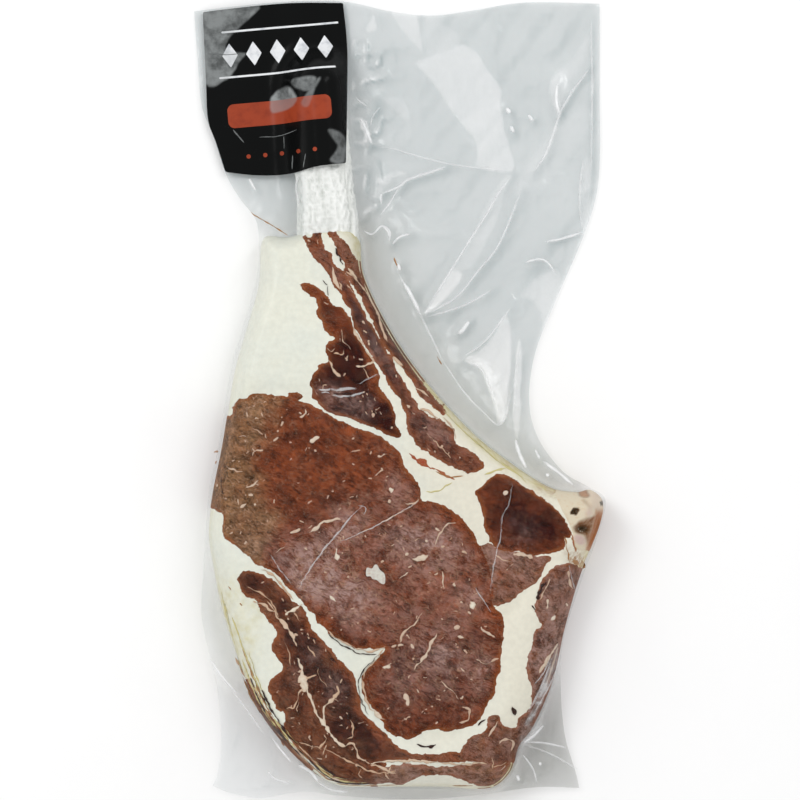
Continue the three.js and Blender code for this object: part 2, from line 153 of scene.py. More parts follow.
# Outlines of the muscles on the cut face
MUSCLES = {
    "eye": [(-81, -11.5), (-80, -9.5), (-76.5, -6.5), (-75.5, -3.5), (-73, 0), (-69, 0.5), (-67.5, 2),
        (-63, 2.5), (-58, 2), (-52, 1), (-50, 2.5), (-47, 3), (-44.5, 2), (-45, 0.5), (-46.5, -0.5),
        (-44, -1.5), (-40.5, -2.5), (-37, -4), (-32, -7), (-26.5, -10), (-16.5, -14), (-7.5, -18), (0, -24.5),
        (1.5, -29.5), (5.5, -35), (9.5, -40.5), (10, -46), (14.5, -46.5), (21, -49), (28.5, -54.5), (33, -60),
        (35.5, -65.5), (40, -69), (43, -74), (45, -80.5), (45, -88.5), (43, -94.5), (47, -98), (47.5, -102),
        (46.5, -112.5), (45.5, -117.5), (46, -123), (44, -127), (43.5, -133), (40, -138.5), (37.5, -144),
        (34.5, -148), (29.5, -149.5), (23, -150.5), (15, -150), (9.5, -152), (3.5, -154.5), (-2.5, -153),
        (-6.5, -149.5), (-7.5, -146), (-12, -140.5), (-16, -135), (-17, -129.5), (-16.5, -125.5), (-13, -121),
        (-8.5, -116.5), (-6.5, -113), (-14.5, -113.5), (-21.5, -112.5), (-28.5, -108.5), (-35.5, -103),
        (-40, -97), (-46, -90), (-52.5, -83.5), (-58, -78.5), (-63.5, -75.5), (-68, -72.5), (-73, -68.5),
        (-77, -64.5), (-80.5, -61.5), (-80.5, -56), (-80.5, -52.5), (-86, -49.5), (-92, -46), (-92, -39.5),
        (-89, -29), (-86, -17)],
    "lobe": [(37, -68), (40.5, -66), (46, -68), (53.5, -69.5), (62.5, -71), (67.5, -71.5), (69, -73),
        (65, -77.5), (63.5, -81.5), (57, -86.5), (49.5, -92), (43.5, -93.5), (41, -91.5), (39, -80.5)],
    "upper": [(-45.5, 52), (-43, 53), (-40.5, 52.5), (-37.5, 51), (-34.5, 48), (-32.5, 46), (-30, 43.5),
        (-27, 41.7), (-24.8, 39.5), (-23, 37), (-21.7, 34), (-20.7, 31), (-18.5, 27.5), (-16.5, 24),
        (-15, 21.5), (-12.5, 17), (-11, 14), (-10, 10), (-10, 5.5), (-7.5, 2), (-4.5, -1), (-3, -4),
        (-2, -7.5), (-2, -10), (-1, -14), (0, -16.5), (-4.5, -16), (-11, -13), (-18, -10), (-25, -7.5),
        (-28.5, -6.5), (-32, -5.5), (-35, -3), (-39.5, 1.5), (-40, 5.5), (-39.5, 9.5), (-36.5, 15), (-33, 17),
        (-31.5, 16.5), (-33.5, 22), (-34, 25), (-31, 26.5), (-29, 28), (-31.5, 29.5), (-33.5, 31.5),
        (-35, 35), (-36.5, 38), (-38, 40.5), (-36.5, 41.5), (-37, 43.5), (-37.5, 46), (-39.5, 47.5),
        (-42, 49), (-44.5, 51)],
    "inner_strip": [(-43.5, 75.5), (-41.5, 74.5), (-40, 74.5), (-39.5, 77), (-36.5, 79.5), (-35, 78.5),
        (-36, 76), (-35.5, 72.5), (-34, 69.5), (-31.5, 66.5), (-30.5, 62.5), (-28, 60), (-25, 58),
        (-23, 53.5), (-21, 49.5), (-19.5, 45.5), (-16.5, 40.5), (-15, 37), (-13.5, 35), (-11.5, 32), (-9, 27),
        (-6, 22.5), (-3, 18.5), (-1.5, 14), (1, 10), (3, 6), (5.5, 2), (8, -1.5), (8.5, -4), (11.5, -5.5),
        (14, -8), (19, -9.5), (23.5, -13.5), (25, -14), (25, -18.5), (29.5, -22), (34, -25), (36.5, -27.5),
        (38, -30), (35.5, -32.5), (31, -33), (22.5, -30), (16, -26), (9, -21.5), (5, -16), (3, -10.5),
        (3.5, -8), (3, -6), (1.5, -3), (-1, 1.5), (-3.5, 5), (-6.5, 10), (-9, 14), (-11.5, 18), (-14, 22.5),
        (-15.5, 25), (-19.5, 32), (-20.5, 34.5), (-21.5, 37.5), (-22, 41), (-24.5, 43.5), (-26, 47),
        (-29, 51), (-31.5, 56), (-34, 59.5), (-38.5, 64.5), (-42, 69), (-43.5, 73)],
    "outer_strip": [(-32.5, 76), (-32.5, 78), (-30.5, 79.5), (-27.5, 78.5), (-28.5, 77), (-27, 74),
        (-24.5, 71.5), (-22.5, 69), (-20.5, 65.5), (-18.5, 61.5), (-17.5, 57), (-16.5, 55), (-15, 52),
        (-12.5, 48), (-10.5, 44), (-8.5, 40), (-6.5, 36.5), (-4.5, 33), (-2.5, 30), (-0.5, 26.5), (2, 22),
        (4.5, 18.5), (7, 14.5), (9.5, 10), (11.5, 5.5), (15.5, 1.5), (19, -2.5), (20.5, -6), (20, -7.5),
        (17.5, -5.5), (13, -1.5), (11, -0.5), (9, 1.5), (7, 5.5), (6, 8.5), (3, 11.5), (1, 14.5), (-1.5, 18),
        (-4, 20.5), (-7, 25), (-9, 28.5), (-10.5, 32), (-12, 36), (-13.5, 39), (-15.5, 42.5), (-17.5, 46),
        (-19.5, 49.5), (-22.5, 54), (-25.5, 58.5), (-25, 61), (-27, 65), (-29, 68.5), (-29.5, 71.5),
        (-31, 73.5), (-32, 75)],
    "chine_muscle": [(34, -41.5), (37, -40), (40, -37), (44, -34.5), (49.5, -35), (53.5, -37), (57.5, -40),
        (63.5, -44), (68, -47), (72, -50.5), (75.5, -55), (78.5, -60.5), (77.5, -63), (75, -63), (75, -67),
        (69, -69.5), (62.5, -71), (53.5, -69.5), (46.5, -69), (43.5, -66.5), (40.5, -61.5), (38.5, -57.5),
        (38, -49.5), (36.5, -45.5)],
    "right_strip": [(75.5, -75), (79, -75), (84, -79.5), (84, -87.5), (82, -95.5), (79, -103.5), (77, -111),
        (74.5, -117.5), (72, -125.5), (67.5, -133.5), (63, -144), (59.5, -152), (55.5, -158.5),
        (51.5, -158.5), (52.5, -151), (56.5, -145), (60, -140), (60.5, -133.5), (59, -127), (58, -120),
        (60, -113.5), (61.5, -106), (65, -103.5), (63, -100.5), (61.5, -95), (63, -91.5), (64, -84.5),
        (67, -80), (70.5, -76)],
    "corner": [(40, -145.5), (42, -144), (45, -144), (46.5, -148), (50.5, -149.5), (53.5, -149.5),
        (54, -145.5), (57.5, -143), (60, -141), (61.5, -144), (58, -152), (54.5, -158.5), (52, -164),
        (48.5, -167), (45, -169.5), (40, -166), (32.5, -165), (26.5, -164.5), (28, -160), (30.5, -155),
        (36, -152), (40, -149.5)],
    "foot_over": [(-9, -154.5), (-4.5, -154.5), (-1, -157.5), (4, -160.5), (8.5, -161.5), (19, -161),
        (28, -160.5), (28.5, -164.5), (18.5, -165), (12, -165), (1.5, -164), (-6.5, -165), (-11, -162),
        (-11.5, -157.5)],
    "foot_under": [(-11.5, -167.5), (-5.5, -167), (1.5, -166), (12, -167), (19, -167.5), (28, -166.5),
        (40, -165.5), (45.5, -169.5), (52, -164), (56, -160.5), (55.5, -165), (52, -171.5), (46, -175),
        (39.5, -177), (31.5, -175), (26, -172), (19, -171), (10.5, -171.5), (5.5, -173.5), (1, -175.5),
        (-5, -175), (-11.5, -175), (-14.5, -171.5)],
    "cap": [(-73, -79.5), (-69, -78), (-62.5, -79.5), (-56.5, -83.5), (-49.5, -91), (-44, -95), (-41, -103),
        (-36, -108.5), (-29.5, -116), (-24, -122), (-20.5, -126.5), (-19, -133.5), (-16.5, -142), (-11, -148),
        (-6, -153), (-3.5, -157.5), (-4.5, -162), (-7, -167), (-9, -171.5), (-11, -175.5), (-19.5, -175),
        (-28.5, -173.5), (-34.5, -169.5), (-41, -164.5), (-47, -158.5), (-51, -153.5), (-53, -148),
        (-52, -143), (-56.5, -140.5), (-58, -136), (-59.5, -128.5), (-53.5, -123), (-55, -118),
        (-58.5, -112.5), (-55, -107), (-58, -103), (-62.5, -98), (-65, -92), (-70.5, -88.5), (-73.5, -84)],
    "left_band": [(-71, -126.5), (-69, -129), (-66, -134.5), (-63, -138.5), (-58, -144.5), (-54.5, -150),
        (-50.5, -155), (-47.5, -160.5), (-43, -164.5), (-39.5, -168.5), (-43.5, -168), (-49, -163),
        (-53.5, -160.5), (-56.5, -157), (-58.5, -151.5), (-63.5, -144), (-67.5, -138), (-70.5, -132)],
}

# The corner of the backbone, and the two places where it is hollow
BONE_CORNER = [
    (71, -41.5), (75, -40.5), (80, -41), (83, -39.5), (87.5, -40), (93.5, -43.5), (95.5, -47), (95, -53),
    (94.5, -59.5), (92, -67.5), (89.5, -72), (86, -69.5), (81, -69), (79, -65.5), (78, -60), (75.5, -54.5),
    (73, -49.5), (71, -44.5),
]
HOLLOW = [
    (79, -58), (81.5, -55.5), (84.5, -54), (87.5, -53.5), (89.5, -52), (92.5, -53.5), (93, -59.5), (90, -68),
    (88, -71.5), (86, -68), (85.5, -65.5), (83.5, -62.5), (80, -61),
]
HOLLOW_CORE = (83.4, -59)
PIT = (79.8, -51)
GRISTLE = (82, -63.8)
NOTCH = (92.6, -47)
MARROW = (84.2, -43.4)

# Outline of the one large fleck on the eye
LARGE_FLECK = [
    (-15.2, -77.7), (-14.6, -76.4), (-12.6, -76.9), (-11.4, -75.3), (-10.2, -75.2), (-9, -77.4), (-7, -79.2),
    (-6.5, -81.6), (-6.9, -83.9), (-8.6, -83.6), (-10.4, -82.1), (-12.3, -81.7), (-13.2, -80.4),
    (-15.1, -80.3)]

# Strokes: a width, and the points of the line
MARBLING = [
    (0.6, [(-70, -6), (-69, -8)]), (0.6, [(-63, -6), (-62, -8)]), (1.0, [(-54, -12.5), (-53, -10)]),
    (0.6, [(-67.5, -13), (-64, -15), (-62, -16)]), (0.6, [(-73.5, -17), (-71.5, -16.5), (-69, -17.5)]),
    (1.0, [(-67, -26), (-66, -24), (-63, -23), (-62, -22.5)]), (0.7, [(-79, -30), (-78, -31), (-75, -32),
    (-71.5, -33)]), (0.9, [(-70, -39.5), (-66.5, -39), (-64, -37)]), (1.7, [(-41, -19), (-38, -18),
    (-36.5, -17)]), (0.6, [(-22.5, -24.5), (-18, -22.5)]), (1.0, [(-43.5, -4.5), (-43, -6.5), (-45.5, -8)]),
    (0.9, [(-11.5, -34.5), (-8, -32)]), (2.3, [(-5, -40), (-3, -41.5)]), (1.1, [(-10.5, -26), (-6.5, -24.5)]),
    (0.7, [(-41.5, -47.5), (-39.5, -46)]), (0.9, [(-74, -45.5), (-73.5, -48)]), (1.0, [(-72.5, -49),
    (-70, -47.5)]), (1.5, [(-41.5, -61), (-37, -57.5), (-33, -55.5), (-27, -54)]), (0.5, [(-28.5, -64.5),
    (-22.5, -63), (-9, -56.5), (0, -51.5), (9, -46)]), (1.4, [(-50.5, -61), (-47, -60), (-45.5, -59)]),
    (0.7, [(-56.5, -69.5), (-51.5, -66.5)]), (2.3, [(-29, -67.5), (-28, -73)]), (1.1, [(16.5, -66.5),
    (18, -62), (21.5, -57), (25.5, -55.5)]), (2.1, [(6, -72.5), (9.5, -72.5), (13, -71)]), (0.7, [(2.5, -47),
    (6, -47.5), (9, -45.5)]), (1.2, [(0, -81), (4, -78.5)]), (0.9, [(19.5, -78), (20, -86)]),
    (1.4, [(24, -83.5), (25.5, -84.5)]), (3.2, [(-32, -89.5), (-29.5, -92)]), (1.2, [(3, -107), (4.5, -109)]),
    (0.8, [(10, -97), (7, -102), (3, -104.5), (0, -110.5)]), (3.2, [(-7.5, -121.5), (-4, -122)]),
    (1.9, [(2, -133.5), (4.5, -139.5)]), (1.2, [(17, -106.5), (14.5, -111), (11.5, -117), (6.5, -122.5)]),
    (0.8, [(0.5, -146.5), (5.5, -144)]), (3.0, [(32, -94.5), (34.5, -92.5)]), (1.6, [(25, -104.5),
    (27.5, -103.5)]), (1.5, [(26.5, -108), (29.5, -108.5)]), (1.2, [(37.5, -103.5), (38, -105.5),
    (41.5, -107), (43, -108)]), (0.9, [(34.5, -118), (39, -120.5), (45, -118)]), (0.7, [(18.5, -128),
    (22.5, -131.5), (25.5, -134), (27, -136.5)]), (0.9, [(28.5, -139.5), (32, -141.5), (31, -146),
    (27, -147.5)]), (1.1, [(28, -122), (29.5, -123.5)]), (0.9, [(7.5, -132), (9, -133)]),
    (0.7, [(43.5, -70.5), (46.5, -72.5), (51, -74)]), (0.6, [(48, -77.5), (52, -75)]), (1.9, [(51.5, -70),
    (57.5, -71), (60.5, -72)]), (1.4, [(48, -41.5), (49, -43)]), (1.4, [(67.5, -91), (67, -95.5)]),
    (2.8, [(69.5, -99), (71, -100.5)]), (1.5, [(72.5, -111.5), (69, -116.5), (66, -121), (63.5, -124.5)]),
    (1.2, [(77, -78), (78, -84.5), (80, -87)]), (1.4, [(76, -93), (77, -94.5)]), (0.9, [(73.5, -110.5),
    (70.5, -120), (67, -130.5)]), (0.7, [(64, -92), (66, -86.5), (68.5, -81.5)]), (1.2, [(45, -157),
    (48.5, -155), (52, -156.5), (51, -160.5)]), (0.9, [(40.5, -153.5), (43, -149), (45, -146.5)]),
]
CAP_SEAMS = [
    (0.7, [(-34.5, -159), (-23, -164.5), (-16, -168), (-9, -170), (-1, -169.3)]), (0.6, [(-17.5, -168),
    (-18.5, -170.5), (-17, -172.5)]), (0.6, [(-6.5, -169.8), (-6, -171.5), (-4.5, -173)]),
    (0.6, [(41.5, -163.5), (42.5, -166), (42.5, -168.5)]), (0.5, [(42.5, -167), (46, -167), (49, -165.5)]),
    (0.7, [(-69, -85), (-63, -88), (-59, -91.5), (-55.5, -96.5)]), (1.0, [(-66.5, -92), (-62, -93.5),
    (-57.5, -96.5), (-54, -100.5)]), (1.5, [(-54.5, -100), (-51, -104.5), (-48.5, -108.5), (-46.5, -112.5)]),
    (1.6, [(-46.5, -117.5), (-44.5, -124), (-43.5, -129), (-40.5, -136), (-38.5, -141.5)]),
    (2.0, [(-39, -140.5), (-35, -147), (-31.5, -151.5), (-28.5, -155.5), (-25, -158)]), (1.3, [(-25.5, -158),
    (-22, -156.5), (-20, -158.5), (-18.5, -163), (-13.5, -165.5)]), (3.4, [(-45.2, -125), (-43.8, -129),
    (-42.6, -133)]), (1.0, [(-43, -126.5), (-37.5, -125.5)]), (1.3, [(-43.5, -131), (-46, -134),
    (-46.5, -137.5)]), (0.9, [(-46, -137), (-48.5, -140), (-51.5, -140.5)]), (0.8, [(-46, -137.5),
    (-47, -142.5)]), (1.3, [(-34.5, -147.5), (-34.5, -141), (-33.5, -139)]), (1.9, [(-34.5, -140),
    (-32, -138), (-29.5, -135.5)]), (1.3, [(-30, -136), (-28, -133), (-28.5, -130)]), (0.7, [(-27.5, -129.5),
    (-26, -127)]), (0.9, [(-22, -145.5), (-21, -149.5), (-21.5, -153), (-24, -154.5)]), (1.9, [(-52, -98.5),
    (-48.5, -95.5), (-44.5, -93.5)]), (0.7, [(-48.5, -96), (-45.5, -101.5)]), (0.9, [(-42, -111.5),
    (-40, -115), (-38.5, -117)]), (0.8, [(-34.5, -152), (-33.5, -155), (-36.5, -158.5)]), (0.7, [(-33, -157),
    (-34.5, -161.5)]), (0.6, [(-46, -156), (-40, -158), (-35.5, -159)]), (0.9, [(-48, -157.5), (-45, -162),
    (-41.5, -166)]), (0.7, [(-60, -91.5), (-56, -97), (-54.5, -99.5)]), (1.7, [(-13.5, -165.5), (-6.5, -165),
    (0, -164)]), (1.2, [(-2, -164), (9.5, -164.5), (18.5, -165.5)]), (0.8, [(18, -165.5), (29, -166),
    (40, -165.5)]), (0.9, [(-13, -166), (-8, -167.5), (-1.5, -170.5)]), (0.7, [(-6, -171), (-3.5, -167)]),
    (0.5, [(-52.5, -110), (-50.5, -115), (-49.5, -121)]), (0.9, [(-33, -105.5), (-25, -111), (-19, -113.5),
    (-12, -114.5), (-6.5, -112.5)]), (0.8, [(-7, -113), (-11, -118.5), (-15.5, -123.5), (-16.5, -129.5),
    (-15, -137), (-12, -142.5)]), (1.7, [(-11.5, -141), (-9, -144.5), (-6.5, -145.5)]), (0.5, [(-37.5, -122),
    (-36, -127), (-33, -131)]), (0.9, [(-63, -77), (-57.5, -80.5), (-51.5, -87.5), (-48.5, -91)]),
]
STRIP_SEAMS = [
    (1.4, [(-21, 33.5), (-20.5, 31.5), (-18.5, 28), (-16, 24.5)]), (0.8, [(-15.5, 23), (-13.5, 20),
    (-11.5, 17)]), (1.3, [(-11.5, 17.5), (-16.5, 15), (-20.5, 15.5)]), (1.2, [(-32, 18.5), (-30, 13.5),
    (-26.5, 10.5)]), (0.6, [(-16.5, 14.5), (-14, 9)]), (0.9, [(-26.5, 32), (-25.5, 26.5), (-22, 23)]),
    (0.8, [(-30, 21), (-26, 20.5), (-25.5, 22.5)]), (0.6, [(-33, 24), (-31, 22), (-29.5, 23.5)]),
    (1.6, [(-30.5, 60.5), (-29.5, 56), (-27.5, 50.5)]), (0.8, [(-27.5, 54), (-26.5, 49.5)]),
    (1.0, [(-24.5, 58.5), (-21, 56), (-17.5, 52), (-14, 47.5)]), (1.0, [(-23.5, 60), (-21, 57), (-19.5, 55)]),
    (1.3, [(-15, 48.5), (-11.5, 42.5), (-9, 38)]), (0.9, [(-9.5, 38.5), (-8.5, 34), (-7, 30), (-5.5, 26)]),
    (1.3, [(-3, 19.5), (0, 16.5), (1.5, 15.5)]), (0.8, [(7, 5), (10, 4), (13.5, 1)]), (0.9, [(9, -4),
    (13.5, -5.5), (18, -9)]), (0.8, [(20, -8), (24, -12.5), (25.5, -18)]), (1.2, [(-16, 31.5), (-15, 30.5)]),
    (1.3, [(-14, 26.5), (-13.5, 24.5)]), (1.9, [(3, -2.5), (4.5, -4)]), (0.6, [(-24, 53), (-21, 48.5)]),
    (0.7, [(12, -15), (18.5, -21.5), (23, -26.5)]), (0.9, [(-75.5, -118), (-73, -123), (-70.5, -127.5)]),
    (0.7, [(-69, -127), (-66.5, -131.5), (-63.5, -136.5)]), (0.9, [(-66.5, -138), (-63, -143.5),
    (-60.5, -147)]), (1.4, [(-56.5, -152.5), (-53.5, -155.5)]), (0.6, [(-46, -157.5), (-41, -162.5),
    (-36, -167.5)]), (1.3, [(-31, -172.5), (-27, -173.8)]),
]
DARK_GAPS = [
    (1.7, [(67, -82.5), (64.5, -86), (63, -91)]), (1.2, [(-32.6, 51.5), (-32.2, 47.5)]), (0.6, [(-35, 54.5),
    (-33, 52)]), (0.7, [(-29.5, 69), (-27, 64.5), (-25.5, 61)]), (0.8, [(60.5, -93.5), (62, -95.5)]),
    (1.6, [(51.5, -140), (52.5, -144)]), (0.5, [(-81.3, -35), (-81, -40), (-80, -44)]), (1.1, [(7.5, -157),
    (11.5, -158), (16, -157.5)]), (0.9, [(36, -148.5), (39, -145.5)]), (0.7, [(-29.5, 3), (-25, 2.8),
    (-21.5, 2.7)]), (0.5, [(-20, 2.2), (-17, 2.5)]), (0.6, [(-33, -106.5), (-28.5, -110), (-22.5, -113.5),
    (-15, -116.2), (-10.5, -116)]), (0.9, [(-56, -149.5), (-53.5, -153), (-50.5, -157)]),
    (0.7, [(-54, -148.5), (-52, -152), (-49, -155)]), (0.6, [(-58.5, -147), (-56.5, -150.5)]),
    (0.7, [(-47.5, -158), (-43, -162.5), (-38, -167.5), (-34, -171.5)]), (0.6, [(-33, -173), (-27, -174.8),
    (-20, -175.6), (-14, -175.4)]), (0.4, [(-9, -115.5), (-13.5, -120), (-17.8, -125.5), (-19, -131),
    (-17, -138), (-14.5, -143.5)]), (0.6, [(-31.5, -117.5), (-28.5, -120)]), (0.8, [(-40, -108.5),
    (-38, -109)]),
]
YELLOW_THREADS = [
    (0.6, [(-76.5, -98.5), (-72, -111.5), (-68, -121.5)]), (0.6, [(-81.5, -87.5), (-78.5, -101.5),
    (-74.5, -114.5)]), (0.6, [(13, 5), (20, -2), (29, -11)]), (0.5, [(20, -5), (31, -16), (43, -26)]),
    (0.6, [(34, -18), (45, -28), (57, -36)]), (0.5, [(46, -28), (53, -33), (58, -38)]), (0.5, [(57, -34),
    (68, -42)]), (0.5, [(12, -42), (18, -41), (24, -38)]), (0.9, [(38.5, -34.5), (43, -32.8), (49, -31)]),
    (0.6, [(-80, -92), (-74, -118.5), (-71, -125.5), (-66.5, -132.5), (-63, -136)]), (0.6, [(-70, -125.5),
    (-63, -139), (-57, -148.5)]),
]
BROWN_THREADS = [
    (1.1, [(-72, -127), (-67.5, -137), (-63, -144), (-58, -150.5)]), (0.9, [(-69, -132), (-65, -139.5),
    (-61.5, -145)]), (0.6, [(-78, -85), (-77, -87)]), (0.6, [(-73, -92.5), (-72, -93.5)]), (1.6, [(-57, -151),
    (-54.5, -155), (-53, -159)]), (0.8, [(-44, -167.5), (-36, -172.5), (-25, -175), (-12, -175.5)]),
    (0.6, [(-30, -175.5), (-15, -176.5), (0, -176)]), (0.7, [(42, -175.5), (49, -169.5), (52, -162)]),
    (0.6, [(8, -176.5), (22, -176.8), (34, -176.5)]), (0.6, [(-52, -157), (-47.5, -161.5), (-43.5, -166)]),
    (0.6, [(16.5, -33), (23, -35), (29, -35)]), (0.7, [(74.4, -60), (75.8, -66.5), (77, -71.5), (78, -77)]),
    (0.8, [(78.4, -62.3), (79.6, -66), (80.5, -69.5)]), (2.2, [(78.5, -72.5), (80.5, -74.5), (82, -74)]),
    (2.0, [(83, -73.5), (84.5, -75.5), (84, -77.5)]),
]
BLOOD_TRACES = [
    (2.8, [(4.5, -24.5), (8, -27.5), (12, -30), (15, -31.3)]), (1.2, [(14.5, -31), (20, -33.8), (25, -36)]),
    (1.4, [(-46.5, -114.5), (-46, -116)]), (1.0, [(78, -61), (79.5, -65.5), (80.5, -70)]),
]
# Creases of the film over the meat, drawn white as painted highlights
MEAT_CREASE_GLINTS = [
    (0.9, [(-16, -47.5), (-21.5, -53), (-33, -66.5), (-42, -79), (-46, -86)]), (0.6, [(-28.5, -64.5),
    (-22.5, -63), (-9, -56.5), (0, -51.5), (9, -46)]), (0.7, [(-19, -48), (-15.5, -49), (-16.5, -53)]),
    (0.6, [(51.5, -38), (50, -47), (47, -53), (46, -62.5), (44, -70), (42.5, -78), (41, -88)]),
    (0.6, [(-19, 7), (-10, 11.5)]), (0.9, [(61.5, -130), (66, -124), (69, -117)]), (1.5, [(-37, 4.6),
    (-34, 4.2), (-31, 4.8)]), (1.7, [(-32, 4.9), (-28, 4.3), (-24, 5), (-19.5, 4.7)]), (1.1, [(-31, 1.8),
    (-26.5, 1.5), (-22, 2)]), (1.4, [(-22.5, 1.7), (-19, 2.4), (-16, 3.6)]), (0.9, [(-36, 3), (-33, 3.4),
    (-31.5, 2.6)]), (0.5, [(79.3, -69.5), (81, -72.5), (82.5, -75.5)]), (0.5, [(82, -70.5), (84.5, -73)]),
    (0.7, [(77.3, -75), (79, -83), (80.7, -87.6)]), (1.0, [(73.5, -119), (69, -130), (61, -144)]),
    (0.6, [(-58.5, -70.5), (-55, -76.5), (-49, -84)]), (0.7, [(34.5, -85.5), (38, -91.5), (42, -97)]),
]
# Folds of the loose film: ridges in its surface, drawn white along them as painted highlights
FILM_CREASES_AND_GLINTS = [
    (0.4, [(-13, 117), (-2, 115), (9.5, 111.5), (22, 108.5), (35.5, 106.5), (52, 105.5)]), (1.3, [(21.5, 107),
    (11.5, 103.5), (4, 101), (0, 98), (-7.5, 94.5)]), (1.0, [(-8.5, 95), (-8.5, 89.5)]), (1.1, [(87.5, 152.5),
    (79.5, 141.5), (74, 132), (71, 123), (67, 112.5), (61.5, 104.5)]), (0.8, [(52, 103.5), (45, 94),
    (40.5, 86), (31.5, 72), (21.5, 56), (11.5, 40)]), (0.8, [(56.5, 97.5), (46, 72), (36, 59), (26, 47),
    (13, 39.5)]), (0.7, [(42.5, 50.5), (29, 43), (11.5, 37.5)]), (0.6, [(84.5, 110), (83, 98.5), (83, 86),
    (84.5, 78)]), (0.8, [(84.5, 77), (75, 74), (67, 72.5)]), (0.7, [(57.5, 63), (64, 64.5), (68, 63),
    (71.5, 58.5)]), (0.7, [(-1, 59), (4, 49.5), (9, 40), (20, 17.5)]), (0.8, [(20, 17.5), (29.5, 3.5),
    (38, -5.5), (45, -11.5), (49, -7), (51, 4)]), (0.8, [(51, 42), (42, 30), (36, 24), (29.5, 20)]),
    (0.8, [(29.5, 18), (37, 14.5), (41.5, 4.5), (45.5, -5)]), (0.7, [(54.5, 25), (53, 5), (52.5, -10)]),
    (1.5, [(53, -18), (55, -25), (58, -31.5)]), (1.1, [(65.5, -28), (73, -33.5), (80, -39.5)]),
    (0.8, [(62, -22.5), (64.5, -27.5)]), (1.6, [(67, -34), (68.5, -35)]), (1.7, [(32, 36), (29.5, 32.5),
    (27, 30)]), (1.7, [(1.5, 54), (5, 48.5), (9.5, 39.5)]), (1.5, [(-0.8, 62.5), (0.2, 59)]),
    (0.7, [(-8.5, 80.5), (-5.5, 77), (-4.5, 73.5)]), (0.9, [(-3.5, 71), (0, 74.5), (5, 76)]),
    (0.7, [(-17, 77.5), (-12.5, 75.7), (-8, 79.5), (-4.5, 76.8), (-5, 72.2)]), (1.2, [(-18, 129),
    (-15.5, 124.5), (-12.8, 117.5)]), (0.4, [(-20.5, 138.7), (-14.4, 134)]), (0.3, [(-13.2, 125.5),
    (-12.4, 130), (-8.6, 134.7)]), (0.3, [(1, 99.6), (-3.5, 92), (-9, 84)]), (1.0, [(-69.5, 102), (-66, 96)]),
    (0.6, [(-46, 103), (-47.5, 97.5), (-46, 89)]), (1.2, [(72.5, 145), (72, 138), (73.5, 130.5)]),
    (1.4, [(49, 134), (51, 131.5)]), (1.2, [(59, 131), (61.5, 128)]), (1.2, [(51, 126), (52.5, 122.5)]),
    (0.8, [(69.5, -117.5), (67, -125.5), (63.5, -133.5), (58.5, -143)]), (1.0, [(56.5, -157), (61, -154),
    (66, -149)]), (1.5, [(53.5, -171.5), (55, -175)]), (1.3, [(63.8, -166.5), (65.2, -167.5)]),
    (0.6, [(58, -158), (70, -163), (82, -170)]), (0.6, [(58, -156.5), (67, -157.5), (77, -160)]),
    (0.6, [(56, -162), (61, -169), (63, -176)]), (0.7, [(-87, -119), (-81.5, -127), (-74, -135)]),
    (0.6, [(-80, -129), (-70, -142), (-62, -153)]), (0.9, [(-58.5, -154.5), (-54.5, -160), (-49.5, -166)]),
    (1.3, [(-46.5, -167), (-41, -170), (-37, -175)]), (0.9, [(-38, -175), (-31, -179), (-23, -180)]),
    (0.6, [(-61, -170), (-57, -174), (-50, -176)]), (0.6, [(88, 176), (88.5, 140), (88, 104)]),
]
STAINED_FOLDS = [
    (0.8, [(-2.5, 65.5), (-1.5, 62.5), (-0.5, 60.5)]), (0.6, [(-68.5, 86), (-59.5, 80.5), (-51, 75)]),
    (0.5, [(17, 20), (19.5, 16)]),
]
# Creases of the label, drawn in the grey of the painted glare
LABEL_CREASE_GLARE = [
    (0.6, [(-44, 106), (-43, 112.5)]), (0.6, [(-49.3, 105.5), (-49, 112)]), (0.5, [(-53.1, 121), (-53, 115)]),
    (0.5, [(-64.5, 120.5), (-55.5, 121), (-47, 123.5)]), (0.8, [(-76.5, 124), (-71.5, 118)]),
    (0.6, [(-88.5, 159), (-80, 158.5), (-72, 159)])]

